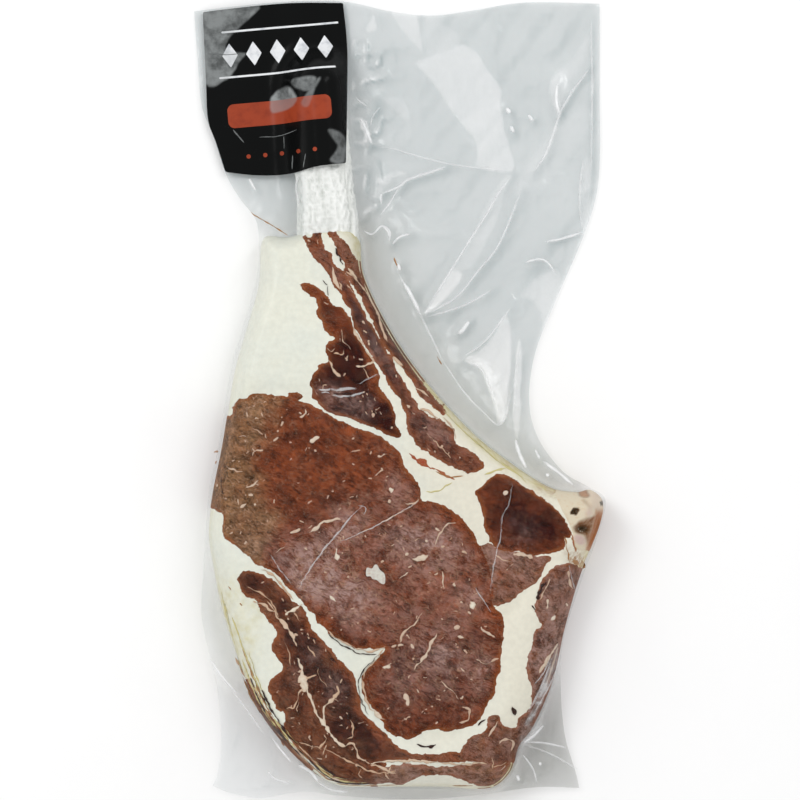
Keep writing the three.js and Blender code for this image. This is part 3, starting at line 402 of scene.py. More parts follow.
# Places where the film catches the light: strength, softness of the edge, then the outline
BRIGHT_FILM = [
    (0.66, 0.7, [(7, 154.5), (12, 157), (24, 161), (27, 163.5), (31.5, 162), (36, 159), (40.5, 151.5),
    (46, 144), (46.5, 136), (48, 125), (52.5, 105.5), (35, 106.5), (36, 110), (34.5, 118.5), (28, 127.5),
    (22.5, 135), (12, 149)]), (0.6, 0.7, [(-3.5, 178.5), (-1, 173.5), (8.5, 161.5), (10.5, 161),
    (7.5, 177.5)]), (0.35, 1.2, [(12, 176.5), (20.5, 172.5), (28, 166.5), (24, 161), (16, 156), (12, 160)]),
    (0.8, 0.9, [(49, 39.5), (51.5, 30), (51.5, 19), (49.5, 0), (48.5, -7.5), (45.5, -11), (44, -5),
    (40.5, 5.5), (37, 13.5), (29.5, 18), (37, 23), (42.5, 29)]), (0.85, 0.8, [(24, 59.5), (29, 58),
    (27.5, 54), (20.5, 46), (11.5, 39), (16.5, 47.5)]), (0.5, 1.4, [(26, 61), (35, 80), (45, 98), (51, 104),
    (48, 93), (42, 76), (33, 61)]), (0.3, 2.0, [(55, 103), (64, 116), (74, 128), (86, 134), (87, 122),
    (74, 105), (60, 90), (54, 92)]), (0.55, 1.5, [(55.5, 47.5), (64.5, 57), (73, 59.5), (74, 50.5), (70, 41),
    (66.5, 34.5), (64.5, 41), (60, 46)]), (0.8, 0.8, [(54, 26.5), (56.3, 23.5), (55.5, -5), (53.8, -18.5),
    (52, -5), (53, 13.5)]), (0.55, 1.0, [(85.5, 111), (88.5, 107.5), (87.5, 87), (85, 77), (83, 92),
    (84, 103)]), (0.6, 1.3, [(69, 145), (74.5, 152.5), (79, 150), (75.5, 138), (73.8, 129.5), (71, 134)]),
    (0.45, 1.3, [(-7, 138.5), (2, 138), (4.5, 127.5), (-4.5, 135)]), (0.9, 0.6, [(-18.5, 127.5),
    (-14.7, 129.2), (-14.4, 124), (-12.7, 118), (-15.9, 122.2)]), (0.7, 0.8, [(-16, 169), (-12, 177),
    (-10.5, 170)]), (0.3, 2.0, [(-12, 117), (3, 126), (6, 121), (0, 114)]), (0.4, 1.5, [(-10.5, 80), (-3, 87),
    (2, 99), (-3, 96), (-8, 88)]), (0.8, 2.0, [(-86, -120), (-67, -139), (-57, -152), (-60, -155),
    (-70, -146), (-87, -127)]), (0.5, 1.2, [(55, -153), (63, -148), (66, -151), (57, -158)]),
    (0.6, 0.8, [(-11, 101), (-7, 98.5), (-3, 102), (4, 104), (-3, 104.5)]), (0.45, 1.5, [(73, 150), (80, 158),
    (88, 170), (86, 160), (80, 148)]), (0.75, 0.8, [(69.5, -124), (68, -133), (60.5, -147), (57, -148),
    (62.5, -136), (66.5, -126)]), (0.55, 0.8, [(72, -112), (73.5, -118), (69, -127), (68, -124)]),
]
# Painted light that lifts the film where the cloth and the meat shade it: strength, softness of the edge, then
# the outline
PAINTED_LIGHT_FILM = [
    (0.12, 3.0, [(-24, 182), (-15, 181), (-13, 150), (-12, 115), (-14, 92), (-17, 76), (-21, 80),
    (-23, 120)]), (0.22, 5.0, [(-90, -100), (-80, -112), (-68, -136), (-54, -158), (-40, -176), (-32, -186),
    (-92, -186)]),
]
# Painted glare of the film over the label: strength, then the outline
BRIGHT_LABEL = [
    (0.75, [(-92, 184), (-66.5, 182), (-66.5, 177.5), (-75, 170), (-80.5, 161), (-71, 159), (-73, 156),
    (-77, 149.5), (-80, 146.5), (-90, 147)]), (1.0, [(-59, 139), (-52.5, 143.5), (-47, 138.5), (-48.5, 134.5),
    (-54, 132), (-59, 132)]), (0.7, [(-48.5, 146.5), (-38.5, 147), (-41, 141), (-47, 142.5)]),
    (0.6, [(-37, 146.5), (-38, 143), (-42, 134), (-45, 136.5)]), (0.55, [(-32.5, 123), (-25, 120),
    (-25, 108.5), (-31.5, 109), (-28.5, 116)]),
]

# Patches of tone on a muscle, and of pink and brown on the fat: x, y, radius, strength
PINK_SPOTS = [(8, -28, 5, 0.7), (17, -30, 4, 0.5)]
STAIN_SPOTS = [(80, -42.5, 4, 0.6), (84.8, -40.6, 2.4, 1), (66, -38.5, 4.5, 0.75), (71, -42, 2.5, 0.8),
               (50, -29, 3, 0.5), (79.5, -73, 2.6, 1.3), (84, -75.5, 2.8, 1.3), (76, -69, 2.5, 0.4),
               (82, -71, 3, 0.5), (30, -31, 5, 0.25)]
# Painted reflection of the film on the eye, a mauve haze
EYE_PAINTED_REFLECTION = [
    (-41, -74, 13, 1.0), (-23, -92, 11, 0.8), (4, -97, 12, 0.15), (21, -67, 11, 0.6), (41, -124, 6, 0.9),
    (20, -116, 12, 0.6), (-23, -55.5, 10, 0.7), (-2, -41.5, 8, 0.6), (1, -131, 10, 0.25),
    (5, -64.5, 12, 0.65), (33, -90, 8, 0.35), (-60, -78, 6, 0.45), (-40, -86, 7, 0.4),
]
EYE_RED = [
    (-35, -30, 20, 1.0), (-15, -28, 12, 0.9), (-50, -50, 12, 0.8), (-6.5, -83, 9, 0.8), (42, -106, 7, 0.9),
    (9.5, -145, 13, 0.9), (-14, -130, 7, 0.8),
]
# Places of painted reflection of the film on the other muscles
PAINTED_REFLECTION_SPOTS = {
    "upper": [(-27, -1, 6, 0.7), (-17, -4, 5, 0.45), (-33, 2, 5, 0.5)],
    "cap": [(-30, -132, 6, 0.25), (-40, -117, 5, 0.2), (-50, -126, 5, 0.3)],
    "right_strip": [(67, -120, 9, 0.4)],
    "chine_muscle": [(55, -62, 7, 0.2)],
    "inner_strip": [(10, -10, 6, 0.25), (16, -17, 6, 0.3), (-10, 22, 6, 0.25)],
}
DARK_SPOTS = {
    "upper": [(-8, -9, 9, 1.0), (-20, 18, 9, 0.8), (-30, 10, 6, 0.7), (-12, 4, 6, 0.7), (-25, -4, 7, 0.8)],
    "cap": [(-44, -110, 8, 0.9), (-41, -121, 6, 0.9), (-30, -131, 8, 1.0), (-25, -148, 8, 0.9),
        (-13, -152, 8, 1.0), (-66, -84, 5, 0.7), (-52, -93, 4, 0.7), (-52, -107, 4, 0.5),
        (-47, -138, 4, 0.5)],
    "chine_muscle": [(51, -54, 8, 0.4), (62, -58, 11, 0.5), (70, -60, 5, 0.3)],
    "inner_strip": [(-26, 52, 6, 0.7), (-20, 40, 8, 0.9), (-12, 26, 8, 0.9), (-3, 10, 8, 0.8),
        (24, -20, 7, 0.6), (8, -10, 5, 0.7)],
    "outer_strip": [(-17, 50, 7, 0.7), (-9, 36, 7, 0.7), (-1, 22, 7, 0.7), (16, -2, 4, 0.6)],
    "right_strip": [(70, -84, 5, 0.5), (66, -110, 6, 0.6), (62, -128, 6, 0.4)],
}


# Lines, distances and random fields

def smooth_line(points, steps, closed=False):
    """Catmull-Rom curve: on each span the cubic through its ends whose slopes are half the
    difference of the neighbours, then read at even steps of length."""
    p = np.array(points, dtype=float)
    if closed:
        q = p[(np.arange(len(p))[:, None] + (-1, 0, 1, 2)) % len(p)]
    else:
        longer = np.vstack([2 * p[0] - p[1], p, 2 * p[-1] - p[-2]])
        q = longer[np.arange(len(p) - 1)[:, None] + (0, 1, 2, 3)]
    a, b, c, d = (q[:, k, None] for k in range(4))
    per_span = 20
    t = np.linspace(0, 1, per_span, endpoint=False)[None, :, None]
    curve = (2 * b + (c - a) * t + (2 * a - 5 * b + 4 * c - d) * t**2
             + (3 * b - a - 3 * c + d) * t**3) / 2
    curve = np.vstack([curve.reshape(-1, 2), p[:1] if closed else p[-1:]])
    length = np.concatenate([[0], np.cumsum(np.hypot(*np.diff(curve, axis=0).T))])
    at = np.linspace(0, length[-1], steps + 1)
    line = np.column_stack([np.interp(at, length, curve[:, k]) for k in (0, 1)])
    return line[:-1] if closed else line


def line_distance(x, y, line, closed=False):
    """Distance to the nearest of a line's straight pieces; with closed, less than 0 inside, where
    a ray to the right crosses the line an odd number of times."""
    start = line if closed else line[:-1]
    end = np.roll(line, -1, axis=0) if closed else line[1:]
    along = end - start
    size = (along**2).sum(axis=1)
    points = np.column_stack([np.ravel(x), np.ravel(y)])
    parts, block_size = [], 4000
    for block in np.array_split(points, len(points) // block_size + 1):
        away = block[:, None] - start
        t = np.clip((away * along).sum(axis=2) / size, 0, 1)
        near = np.sqrt(((away - t[..., None] * along)**2).sum(axis=2).min(axis=1))
        if closed:
            py = block[:, 1, None]
            crosses = (start[:, 1] > py) != (end[:, 1] > py)
            rise = np.where(along[:, 1] == 0, 1, along[:, 1])
            hit = start[:, 0] + (py - start[:, 1]) * along[:, 0] / rise
            odd = (crosses & (block[:, 0, None] < hit)).sum(axis=1) % 2 == 1
            near = np.where(odd, -near, near)
        parts.append(near)
    return np.concatenate(parts).reshape(np.shape(x))


def outside(x, y, outline):
    """Distance outside a closed outline, less than 0 inside it."""
    return line_distance(x, y, outline, closed=True)


def smoothstep(value, low, high):
    """0 below low, 1 above high, and 3t^2 - 2t^3 between."""
    t = np.clip((value - low) / (high - low), 0, 1)
    return t * t * (3 - 2 * t)


def falloff(distance, reach, power=2):
    """exp(-(distance / reach)^power): 1 at no distance, and nearly 0 beyond twice the reach."""
    return np.exp(-(distance / reach)**power)


def blend_cell(table, i, j, s, t):
    """The table's values at the four corners of cell i, j, blended by s and t; the table repeats."""
    wide, long = table.shape
    low = table[i % wide, j % long] * (1 - s) + table[(i + 1) % wide, j % long] * s
    high = table[i % wide, (j + 1) % long] * (1 - s) + table[(i + 1) % wide, (j + 1) % long] * s
    return low * (1 - t) + high * t


def noise(x, y, size, seed):
    """Random values from -1 to 1 on a square lattice, blended by smoothstep inside each square."""
    table = np.random.default_rng(seed).uniform(-1, 1, (128, 128))
    u, v = np.asarray(x) / size, np.asarray(y) / size
    i, j = np.floor(u).astype(int), np.floor(v).astype(int)
    return blend_cell(table, i, j, smoothstep(u - i, 0, 1), smoothstep(v - j, 0, 1))


class Field:
    """A function of x and y kept on a grid over the whole bag, and read between its points."""

    STEP, WIDE, LONG = 1.0, 100, 190

    def __init__(self, function):
        self.x = np.arange(-self.WIDE, self.WIDE + 1, self.STEP)
        self.y = np.arange(-self.LONG, self.LONG + 1, self.STEP)
        self.values = function(*np.meshgrid(self.x, self.y, indexing="ij"))

    def __call__(self, x, y):
        u = np.clip((x - self.x[0]) / self.STEP, 0, len(self.x) - 1.001)
        v = np.clip((y - self.y[0]) / self.STEP, 0, len(self.y) - 1.001)
        i, j = u.astype(int), v.astype(int)
        return blend_cell(self.values, i, j, u - i, v - j)


STEAK_LINE = smooth_line(STEAK, 420, closed=True)
BONE_LINE = smooth_line(BONE, 16)
GROOVE_LINES = [smooth_line(points, 60) for points in GROOVES]
SIDE_LINES = [smooth_line(BAG[name], 120) for name in ("left", "right", "bottom")]

steak_depth = Field(lambda x, y: -outside(x, y, STEAK_LINE))
groove_distance = Field(lambda x, y: np.min([line_distance(x, y, g) for g in GROOVE_LINES], axis=0))
bone_distance = Field(lambda x, y: line_distance(x, y, BONE_LINE))
edge_distance = Field(lambda x, y: np.min([line_distance(x, y, s) for s in SIDE_LINES], axis=0))


# Surfaces of the bag and the meat, as heights over x and y

def from_steak(x, y):
    """Distance outside the steak's outline, 0 inside it."""
    return np.maximum(-steak_depth(x, y), 0)


def meat_depth(x, y):
    """Depth inside the meat's own outline, which lies a film's slack inside the bag's."""
    return steak_depth(x, y) - MEAT_INSET


def skirt_middle(x, y):
    """Height of the skirt's middle: it falls from the meat by exp(-distance / reach), with waves."""
    fall = falloff(from_steak(x, y), SKIRT_REACH, 1)
    wave = np.sin(0.11 * x + 0.05 * y) * np.sin(0.07 * y - 0.03 * x)
    return SKIRT_EDGE + SKIRT_RISE * fall + WAVE * (1 - fall) * wave


def openness(x, y):
    """How far the two films stand apart, from 1 at the meat to 0 where they meet."""
    return falloff(from_steak(x, y), TENT_REACH, 1.5) * (1 - falloff(edge_distance(x, y), EDGE_REACH))


def skirt_top(x, y):
    """Upper film outside the meat: the tent beside it, and the arch over the bone."""
    flat = skirt_middle(x, y) + TENT_OVER * openness(x, y)
    arch = falloff(bone_distance(x, y), BONE_SPREAD, 3)
    return flat + FILM / 2 + np.maximum(0, BONE_TOP - flat) * arch


def skirt_under(x, y):
    """Lower film outside the meat."""
    return skirt_middle(x, y) - TENT_UNDER * openness(x, y) - FILM / 2


def slope_factor(x, y):
    """How much further than elsewhere the side slopes: more towards the lower right."""
    turn = np.cos(np.arctan2(y - CENTRE[1], x - CENTRE[0]) - LOWER_RIGHT)
    return 1 + (SLOPED_SIDE - 1) * smoothstep(turn, 0.72, 0.97)


def quarter_round(share):
    """A quarter of an ellipse: sqrt(1 - (1 - share)^2)."""
    return np.sqrt(1 - (1 - np.clip(share, 0, 1))**2)


def cut_face(x, y):
    """Height of the cut face: level, lower in the fat tail, with a bell-shaped groove at each seam."""
    groove = falloff(groove_distance(x, y), GROOVE_WIDTH)
    return MEAT_TOP - TAIL_DROP * smoothstep(y, TAIL_FROM, TAIL_TO) - GROOVE_DEPTH * groove


def meat_top(x, y, depth):
    """Upper surface of the meat at a depth inside its outline: a quarter round, then the cut face."""
    rise = quarter_round(depth / (SIDE_INSET * slope_factor(x, y)))
    return WIDEST + (cut_face(x, y) - WIDEST) * rise


def meat_under(depth):
    """Lower surface of the meat: a quarter round down to the flat underside."""
    return WIDEST * (1 - quarter_round(depth / UNDER_INSET))


# Meshes

def new_object(name, corners, faces, attributes, sharp=40):
    """A mesh object at the origin from corners in millimetres and faces of four corners."""
    mesh = bpy.data.meshes.new(name)
    mesh.vertices.add(len(corners))
    mesh.vertices.foreach_set("co", (np.asarray(corners) * MM).astype(np.float32).ravel())
    mesh.loops.add(faces.size)
    mesh.loops.foreach_set("vertex_index", faces.astype(np.int32).ravel())
    mesh.polygons.add(len(faces))
    mesh.polygons.foreach_set("loop_start", np.arange(0, faces.size, 4, dtype=np.int32))
    mesh.update(calc_edges=True)
    mesh.shade_smooth()
    mesh.set_sharp_from_angle(angle=math.radians(sharp))
    for key, values in attributes.items():
        layer = mesh.attributes.new(key, "FLOAT", "POINT")
        layer.data.foreach_set("value", np.asarray(values, dtype=np.float32))
    obj = bpy.data.objects.new(name, mesh)
    bpy.context.scene.collection.objects.link(obj)
    return obj


def slope(function, x, y, small):
    """How fast a function of x and y rises along x and along y, from its values a little apart."""
    return ((function(x + small, y) - function(x - small, y)) / (2 * small),
            (function(x, y + small) - function(x, y - small)) / (2 * small))


def region_cells(level, box, step):
    """Square cells that fill the region where level(x, y) is below 0, with the corners on its edge
    moved onto the edge: each goes back along the slope of level by level / slope."""
    x, y = np.meshgrid(np.arange(box[0], box[1], step), np.arange(box[2], box[3], step), indexing="ij")
    near = level(x, y) < 0.5 * step
    cells = near[:-1, :-1] & near[1:, :-1] & near[:-1, 1:] & near[1:, 1:]
    for _ in range(3):
        a, b, c, d = cells[:-1, :-1], cells[1:, :-1], cells[1:, 1:], cells[:-1, 1:]
        pinched = (a & c & ~b & ~d) | (b & d & ~a & ~c)
        for part in (a, b, c, d):
            part |= pinched
    padded = np.pad(cells, 1)
    count = sum(part.astype(int) for part in
                (padded[:-1, :-1], padded[1:, :-1], padded[:-1, 1:], padded[1:, 1:]))
    used, rim = count > 0, (count > 0) & (count < 4)
    px, py = x[rim], y[rim]
    for _ in range(3):
        here = level(px, py)
        gx, gy = slope(level, px, py, 0.25 * step)
        pull = np.clip(here, -0.5 * step, 0.5 * step) / np.maximum(gx**2 + gy**2, 0.2)
        px, py = px - pull * gx, py - pull * gy
    x[rim], y[rim] = px, py
    index = np.cumsum(used.ravel()).reshape(used.shape) - 1
    i, j = np.nonzero(cells)
    quads = np.column_stack([index[i, j], index[i + 1, j], index[i + 1, j + 1], index[i, j + 1]])
    edges = []
    for step_i, step_j, start, end in ((0, -1, 0, 1), (1, 0, 1, 2), (0, 1, 2, 3), (-1, 0, 3, 0)):
        open_side = ~padded[i + 1 + step_i, j + 1 + step_j]
        edges.append(quads[open_side][:, (start, end)])
    return x[used], y[used], quads, np.vstack(edges), np.nonzero(rim[used])[0]


def closed_slab(x, y, quads, edges, rim, top, under, rings):
    """Corners and faces of a slab: the cells above and below, and walls through the rings, each a
    set of corners for the rim from the upper side to the lower."""
    upper, lower = np.column_stack([x, y, top]), np.column_stack([x, y, under])
    count, size = len(x), len(rim)
    in_rim = np.zeros(count, dtype=int)
    in_rim[rim] = np.arange(size)
    levels = [edges] + [2 * count + k * size + in_rim[edges] for k in range(len(rings))] + [edges + count]
    walls = [np.column_stack([b[:, 1], b[:, 0], c[:, 0], c[:, 1]]) for b, c in zip(levels[:-1], levels[1:])]
    faces = np.vstack([quads, quads[:, ::-1] + count] + walls)
    return np.vstack([upper, lower] + list(rings)), faces


# Depths of the rings that make the meat's side, as shares of RIM, above and below its widest place
SIDE_RINGS = ((0.55, 1), (0.25, 1), (0.08, 1), (0.0, 1), (0.08, -1), (0.25, -1), (0.55, -1))


def meat_piece(name, region, box, step, lift, proud, tones):
    """A piece of the steak from face to face: its cells lie at the meat's two surfaces plus lift,
    and where it reaches the outline its walls follow the rounded side, proud by a little."""
    def level(x, y):
        return np.maximum(region(x, y), RIM - meat_depth(x, y))

    x, y, quads, edges, rim = region_cells(level, box, step)
    depth = meat_depth(x, y)
    raised = lift(x, y)
    top = meat_top(x, y, depth) + raised
    under = np.maximum(meat_under(depth) - raised - NEARER_BELOW, LEAST_HEIGHT)
    px, py = x[rim], y[rim]
    small = 0.5
    nx = steak_depth(px - small, py) - steak_depth(px + small, py)
    ny = steak_depth(px, py - small) - steak_depth(px, py + small)
    size = np.maximum(np.hypot(nx, ny), 1e-6)
    at_side = np.clip(1 - (depth[rim] - RIM) / 1.0, 0, 1) * smoothstep(-region(px, py), 0, 0.6)
    rings = []
    for k, (share, side) in enumerate(SIDE_RINGS):
        out = (RIM * (1 - share) + proud) * at_side
        ring_depth = np.full(len(px), RIM * share)
        height = meat_top(px, py, ring_depth) if side > 0 else meat_under(ring_depth)
        straight = top[rim] + (under[rim] - top[rim]) * (k + 1) / (len(SIDE_RINGS) + 1)
        z = at_side * height + (1 - at_side) * straight
        rings.append(np.column_stack([px + nx / size * out, py + ny / size * out, z]))
    corners, faces = closed_slab(x, y, quads, edges, rim, top, under, rings)
    everywhere = np.concatenate([np.arange(len(x)), np.arange(len(x))] + [rim] * len(rings))
    attributes = {key: values[everywhere] for key, values in tones(x, y).items()}
    return new_object(name, corners, faces, attributes)


def bounds_of(points, margin):
    """Least and greatest x, then y, of some points, with a margin."""
    p = np.array(points)
    low, high = p.min(axis=0) - margin, p.max(axis=0) + margin
    return low[0], high[0], low[1], high[1]


def across(line):
    """Unit vectors to the right of a line at each of its points."""
    forward = np.gradient(line, axis=0)
    forward /= np.maximum(np.hypot(*forward.T), 1e-9)[:, None]
    return np.column_stack([forward[:, 1], -forward[:, 0]])


def tube(rings):
    """Corners and faces of a tube from rings of points, shaped (ring, point, xyz): each ring goes
    from the right over the top to the left, and strips across the first and last ring close it."""
    length, around = rings.shape[:2]
    index = np.arange(length * around).reshape(length, around)
    turned_index = np.roll(index, -1, axis=1)
    sides = np.stack([index[:-1], index[1:], turned_index[1:], turned_index[:-1]], axis=-1).reshape(-1, 4)
    k = np.arange(around // 2 - 1)
    strips = np.stack([k, k + 1, around - 2 - k, around - 1 - k], axis=-1)
    return rings.reshape(-1, 3), np.vstack([sides, index[0][strips], index[-1][strips][:, ::-1]])


def join(parts):
    """One mesh from parts, each with corners, faces and a tone for all of its corners."""
    starts = np.cumsum([0] + [len(corners) for corners, _, _ in parts[:-1]])
    corners = np.vstack([corners for corners, _, _ in parts])
    faces = np.vstack([faces + start for (_, faces, _), start in zip(parts, starts)])
    tones = np.concatenate([np.full(len(corners), tone, dtype=float) for corners, _, tone in parts])
    return corners, faces, tones


# Section of a ridge: shares of its half width and of its rise
RIBBON_ACROSS = np.array([1, 0.6, 0, -0.6, -1, 0])
RIBBON_UP = np.array([0, 0.75, 1, 0.75, 0, -0.7])


def ribbon(points, width, surface, rise, seed, side=1, wander=0.4):
    """A low ridge along a stroke: a six-sided section carried along the smoothed stroke, whose
    width wanders and narrows to its ends by a quarter round, and that runs straight where it nears
    the steak's steep side; side -1 puts it on an underside.
    Also a share for each corner that fades to 0 at the ridge's edges and ends."""
    length = np.hypot(*np.diff(np.array(points, dtype=float), axis=0).T).sum()
    line = smooth_line(points, int(np.clip(length / 0.7, 5, 110)))
    free = wander * smoothstep(np.abs(steak_depth(*line.T)), 2, 9)[:, None]
    line = line + free * np.column_stack([noise(*line.T, 1.8, seed), noise(*line.T, 1.8, seed + 1)])
    share = np.linspace(0, 1, len(line))
    taper = 0.1 + 0.9 * quarter_round(np.minimum(share, 1 - share) / 0.3)
    uneven = 0.8 + wander * (1.2 * noise(*line.T, 2.4, seed + 2) + 1.0 * noise(*line.T, 1.1, seed + 3))
    half = 0.5 * width * taper * np.maximum(uneven, 0.2)
    section = line[:, None] + across(line)[:, None] * (RIBBON_ACROSS * half[:, None])[..., None]
    height = surface(section[..., 0], section[..., 1]) + side * RIBBON_UP * (rise * taper)[:, None]
    corners, faces = tube(np.dstack([section, height]))
    fade = np.clip(RIBBON_UP, 0, 1) * taper[:, None]
    return corners, faces[:, ::side], fade.ravel()


def slab_over(level, box, step, top, under):
    """A thin slab over the region where level is below 0, and the x and y of its upper corners."""
    x, y, quads, edges, _ = region_cells(level, box, step)
    return *closed_slab(x, y, quads, edges, np.zeros(0, dtype=int), top(x, y), under(x, y), []), x, y


def patch(outline, step, top, under):
    """Corners and faces of a thin slab on the inside of an outline, between two heights."""
    return slab_over(lambda x, y: outside(x, y, outline), bounds_of(outline, 2 * step), step, top, under)[:2]


def bed(below, side=1):
    """The meat's surface for strokes that lie some way below the film; side -1 is the other cut face."""
    def height(x, y):
        depth = meat_depth(x, y)
        return meat_top(x, y, depth) - below if side > 0 else meat_under(depth) + below - NEARER_BELOW
    return height


# Materials

def feed(tree, socket, value):
    """Links the output that feeds an input, or gives it a value; a colour gets its alpha of 1."""
    if isinstance(value, bpy.types.NodeSocket):
        tree.links.new(value, socket)
    else:
        socket.default_value = (*value, 1.0) if socket.type == "RGBA" else value


def add(tree, kind, values=None, **settings):
    """A node with its settings, whose inputs take a value or the output that feeds them."""
    node = tree.nodes.new(kind)
    for key, value in settings.items():
        setattr(node, key, value)
    for key, value in (values or {}).items():
        feed(tree, node.inputs[key], value)
    return node


def mix(tree, factor, first, second, blend="MIX"):
    """From a first colour to a second by a factor."""
    return add(tree, "ShaderNodeMix", {0: factor, 6: first, 7: second}, data_type="RGBA",
               blend_type=blend).outputs[2]


def calculate(tree, operation, *values):
    """The outcome of a sum on values."""
    return add(tree, "ShaderNodeMath", dict(enumerate(values)), operation=operation).outputs[0]


def times(tree, first, second):
    """First times second."""
    return calculate(tree, "MULTIPLY", first, second)


def ramp(tree, value, low, high, least=0.0, most=1.0, kind="LINEAR"):
    """Least where a value is low, most where it is high."""
    values = {"Value": value, "From Min": low, "From Max": high, "To Min": least, "To Max": most}
    return add(tree, "ShaderNodeMapRange", values, interpolation_type=kind).outputs[0]


def attribute(tree, name):
    """A mask that the mesh carries."""
    return add(tree, "ShaderNodeAttribute", attribute_name=name).outputs["Fac"]


def place(tree):
    """Where a point is on its object, in metres."""
    return add(tree, "ShaderNodeTexCoord").outputs["Object"]


def vector(tree, operation, first, second):
    """The outcome of a sum on vectors, or a vector times a scale."""
    values = {0: first, "Scale" if operation == "SCALE" else 1: second}
    return add(tree, "ShaderNodeVectorMath", values, operation=operation).outputs[0]


def cloud(tree, where, scale, detail, **values):
    """Outputs of a noise texture: its value, about 0.5, and its colour."""
    return add(tree, "ShaderNodeTexNoise", {"Vector": where, "Scale": scale, "Detail": detail,
                                            **values}).outputs


def new_group(name, inputs, outputs):
    """An empty node group with sockets, and its input and output nodes."""
    group = bpy.data.node_groups.new(name, "ShaderNodeTree")
    for label, default in inputs.items():
        socket = group.interface.new_socket(label, in_out="INPUT", socket_type="NodeSocketFloat")
        socket.default_value = default
    for label in outputs:
        group.interface.new_socket(label, in_out="OUTPUT", socket_type="NodeSocketFloat")
    return group, group.nodes.new("NodeGroupInput").outputs, group.nodes.new("NodeGroupOutput").inputs


def use_group(tree, name, build, **values):
    """The outputs of a group in a tree; the group is built when it is first used."""
    group = bpy.data.node_groups.get(name) or build(name)
    return add(tree, "ShaderNodeGroup", values, node_tree=group).outputs


def blotch_group(name):
    """Blotches: a mask of soft patches of a size in millimetres, from a noise cut at a share."""
    defaults = {"Size": 5.0, "Cover": 0.5, "Softness": 0.1, "Seed": 0.0}
    group, given, result = new_group(name, defaults, ["Mask"])
    scale = calculate(group, "DIVIDE", 1 / MM, given["Size"])
    shift = add(group, "ShaderNodeCombineXYZ", {"X": given["Seed"], "Z": given["Seed"]}).outputs[0]
    patches = cloud(group, vector(group, "ADD", place(group), shift), scale, 4.0, Roughness=0.6)[0]
    middle = calculate(group, "SUBTRACT", 1.0, given["Cover"])
    low, high = (calculate(group, operation, middle, given["Softness"]) for operation in ("SUBTRACT", "ADD"))
    feed(group, result["Mask"], ramp(group, patches, low, high, kind="SMOOTHSTEP"))
    return group


def blotches(tree, size, cover, softness, seed):
    """The mask of the group of blotches."""
    return use_group(tree, "Blotches", blotch_group, Size=size, Cover=cover, Softness=softness,
                     Seed=seed)["Mask"]


def patchy(tree, size, cover, softness, seed, gain, least):
    """Blotches times a gain, plus a least share."""
    return calculate(tree, "MULTIPLY_ADD", blotches(tree, size, cover, softness, seed), gain, least)


def grain_group(name):
    """Muscle grain: cells of fibre bundles with pale edges, and a height that dips between them."""
    group, given, result = new_group(name, {"Bundle": 2.0, "Turn": 0.6, "Stretch": 2.0},
                                     ["Edges", "Shade", "Height"])
    where = place(group)
    bend = cloud(group, where, 160.0, 3.0)["Color"]
    wobble = vector(group, "SCALE", vector(group, "SUBTRACT", bend, (0.5, 0.5, 0.5)), 0.006)
    bent = {"Vector": vector(group, "ADD", where, wobble), "Angle": given["Turn"]}
    turned_place = add(group, "ShaderNodeVectorRotate", bent, rotation_type="Z_AXIS").outputs[0]
    squeeze = add(group, "ShaderNodeCombineXYZ", {"X": calculate(group, "DIVIDE", 1.0, given["Stretch"]),
                                                  "Y": 1.0, "Z": 0.4}).outputs[0]
    along = vector(group, "MULTIPLY", turned_place, squeeze)
    scale = calculate(group, "DIVIDE", 1 / MM, given["Bundle"])
    cells = add(group, "ShaderNodeTexVoronoi", {"Vector": along, "Scale": times(group, scale, 2.0)},
                feature="DISTANCE_TO_EDGE").outputs["Distance"]
    edges = ramp(group, cells, 0.16, 0.02)
    streaks = cloud(group, along, scale, 4.0, Roughness=0.65)[0]
    mottle = cloud(group, where, times(group, scale, 0.4), 5.0, Roughness=0.65)[0]
    fibres = cloud(group, along, times(group, scale, 2.6), 2.0, Roughness=0.7)[0]
    shade = calculate(group, "MULTIPLY_ADD", streaks, 0.3, times(group, mottle, 0.3))
    shade = calculate(group, "MULTIPLY_ADD", fibres, 0.4, shade)
    height = calculate(group, "SUBTRACT", shade, times(group, edges, 0.3))
    for label, value in (("Edges", edges), ("Shade", shade), ("Height", height)):
        feed(group, result[label], value)
    return group


def grain(tree, bundle, turn, stretch):
    """Edges, shade and height of the group of muscle grain."""
    return use_group(tree, "Muscle grain", grain_group, Bundle=bundle, Turn=turn, Stretch=stretch)


def new_material(name, roughness=0.5, **values):
    """A material with one Principled shader, its tree and that shader."""
    material = bpy.data.materials.new(name)
    material.use_nodes = True
    shader = material.node_tree.nodes["Principled BSDF"]
    shader.inputs["Roughness"].default_value = roughness
    for key, value in values.items():
        shader.inputs[key.replace("_", " ")].default_value = value
    return material, material.node_tree, shader


def paint(tree, shader, base):
    """Gives the shader its base colour."""
    feed(tree, shader.inputs["Base Color"], base)


def bump(tree, shader, height, strength, distance):
    """Roughens the shading by a height of up to some millimetres."""
    node = add(tree, "ShaderNodeBump", {"Height": height, "Strength": strength, "Distance": distance * MM})
    feed(tree, shader.inputs["Normal"], node.outputs[0])


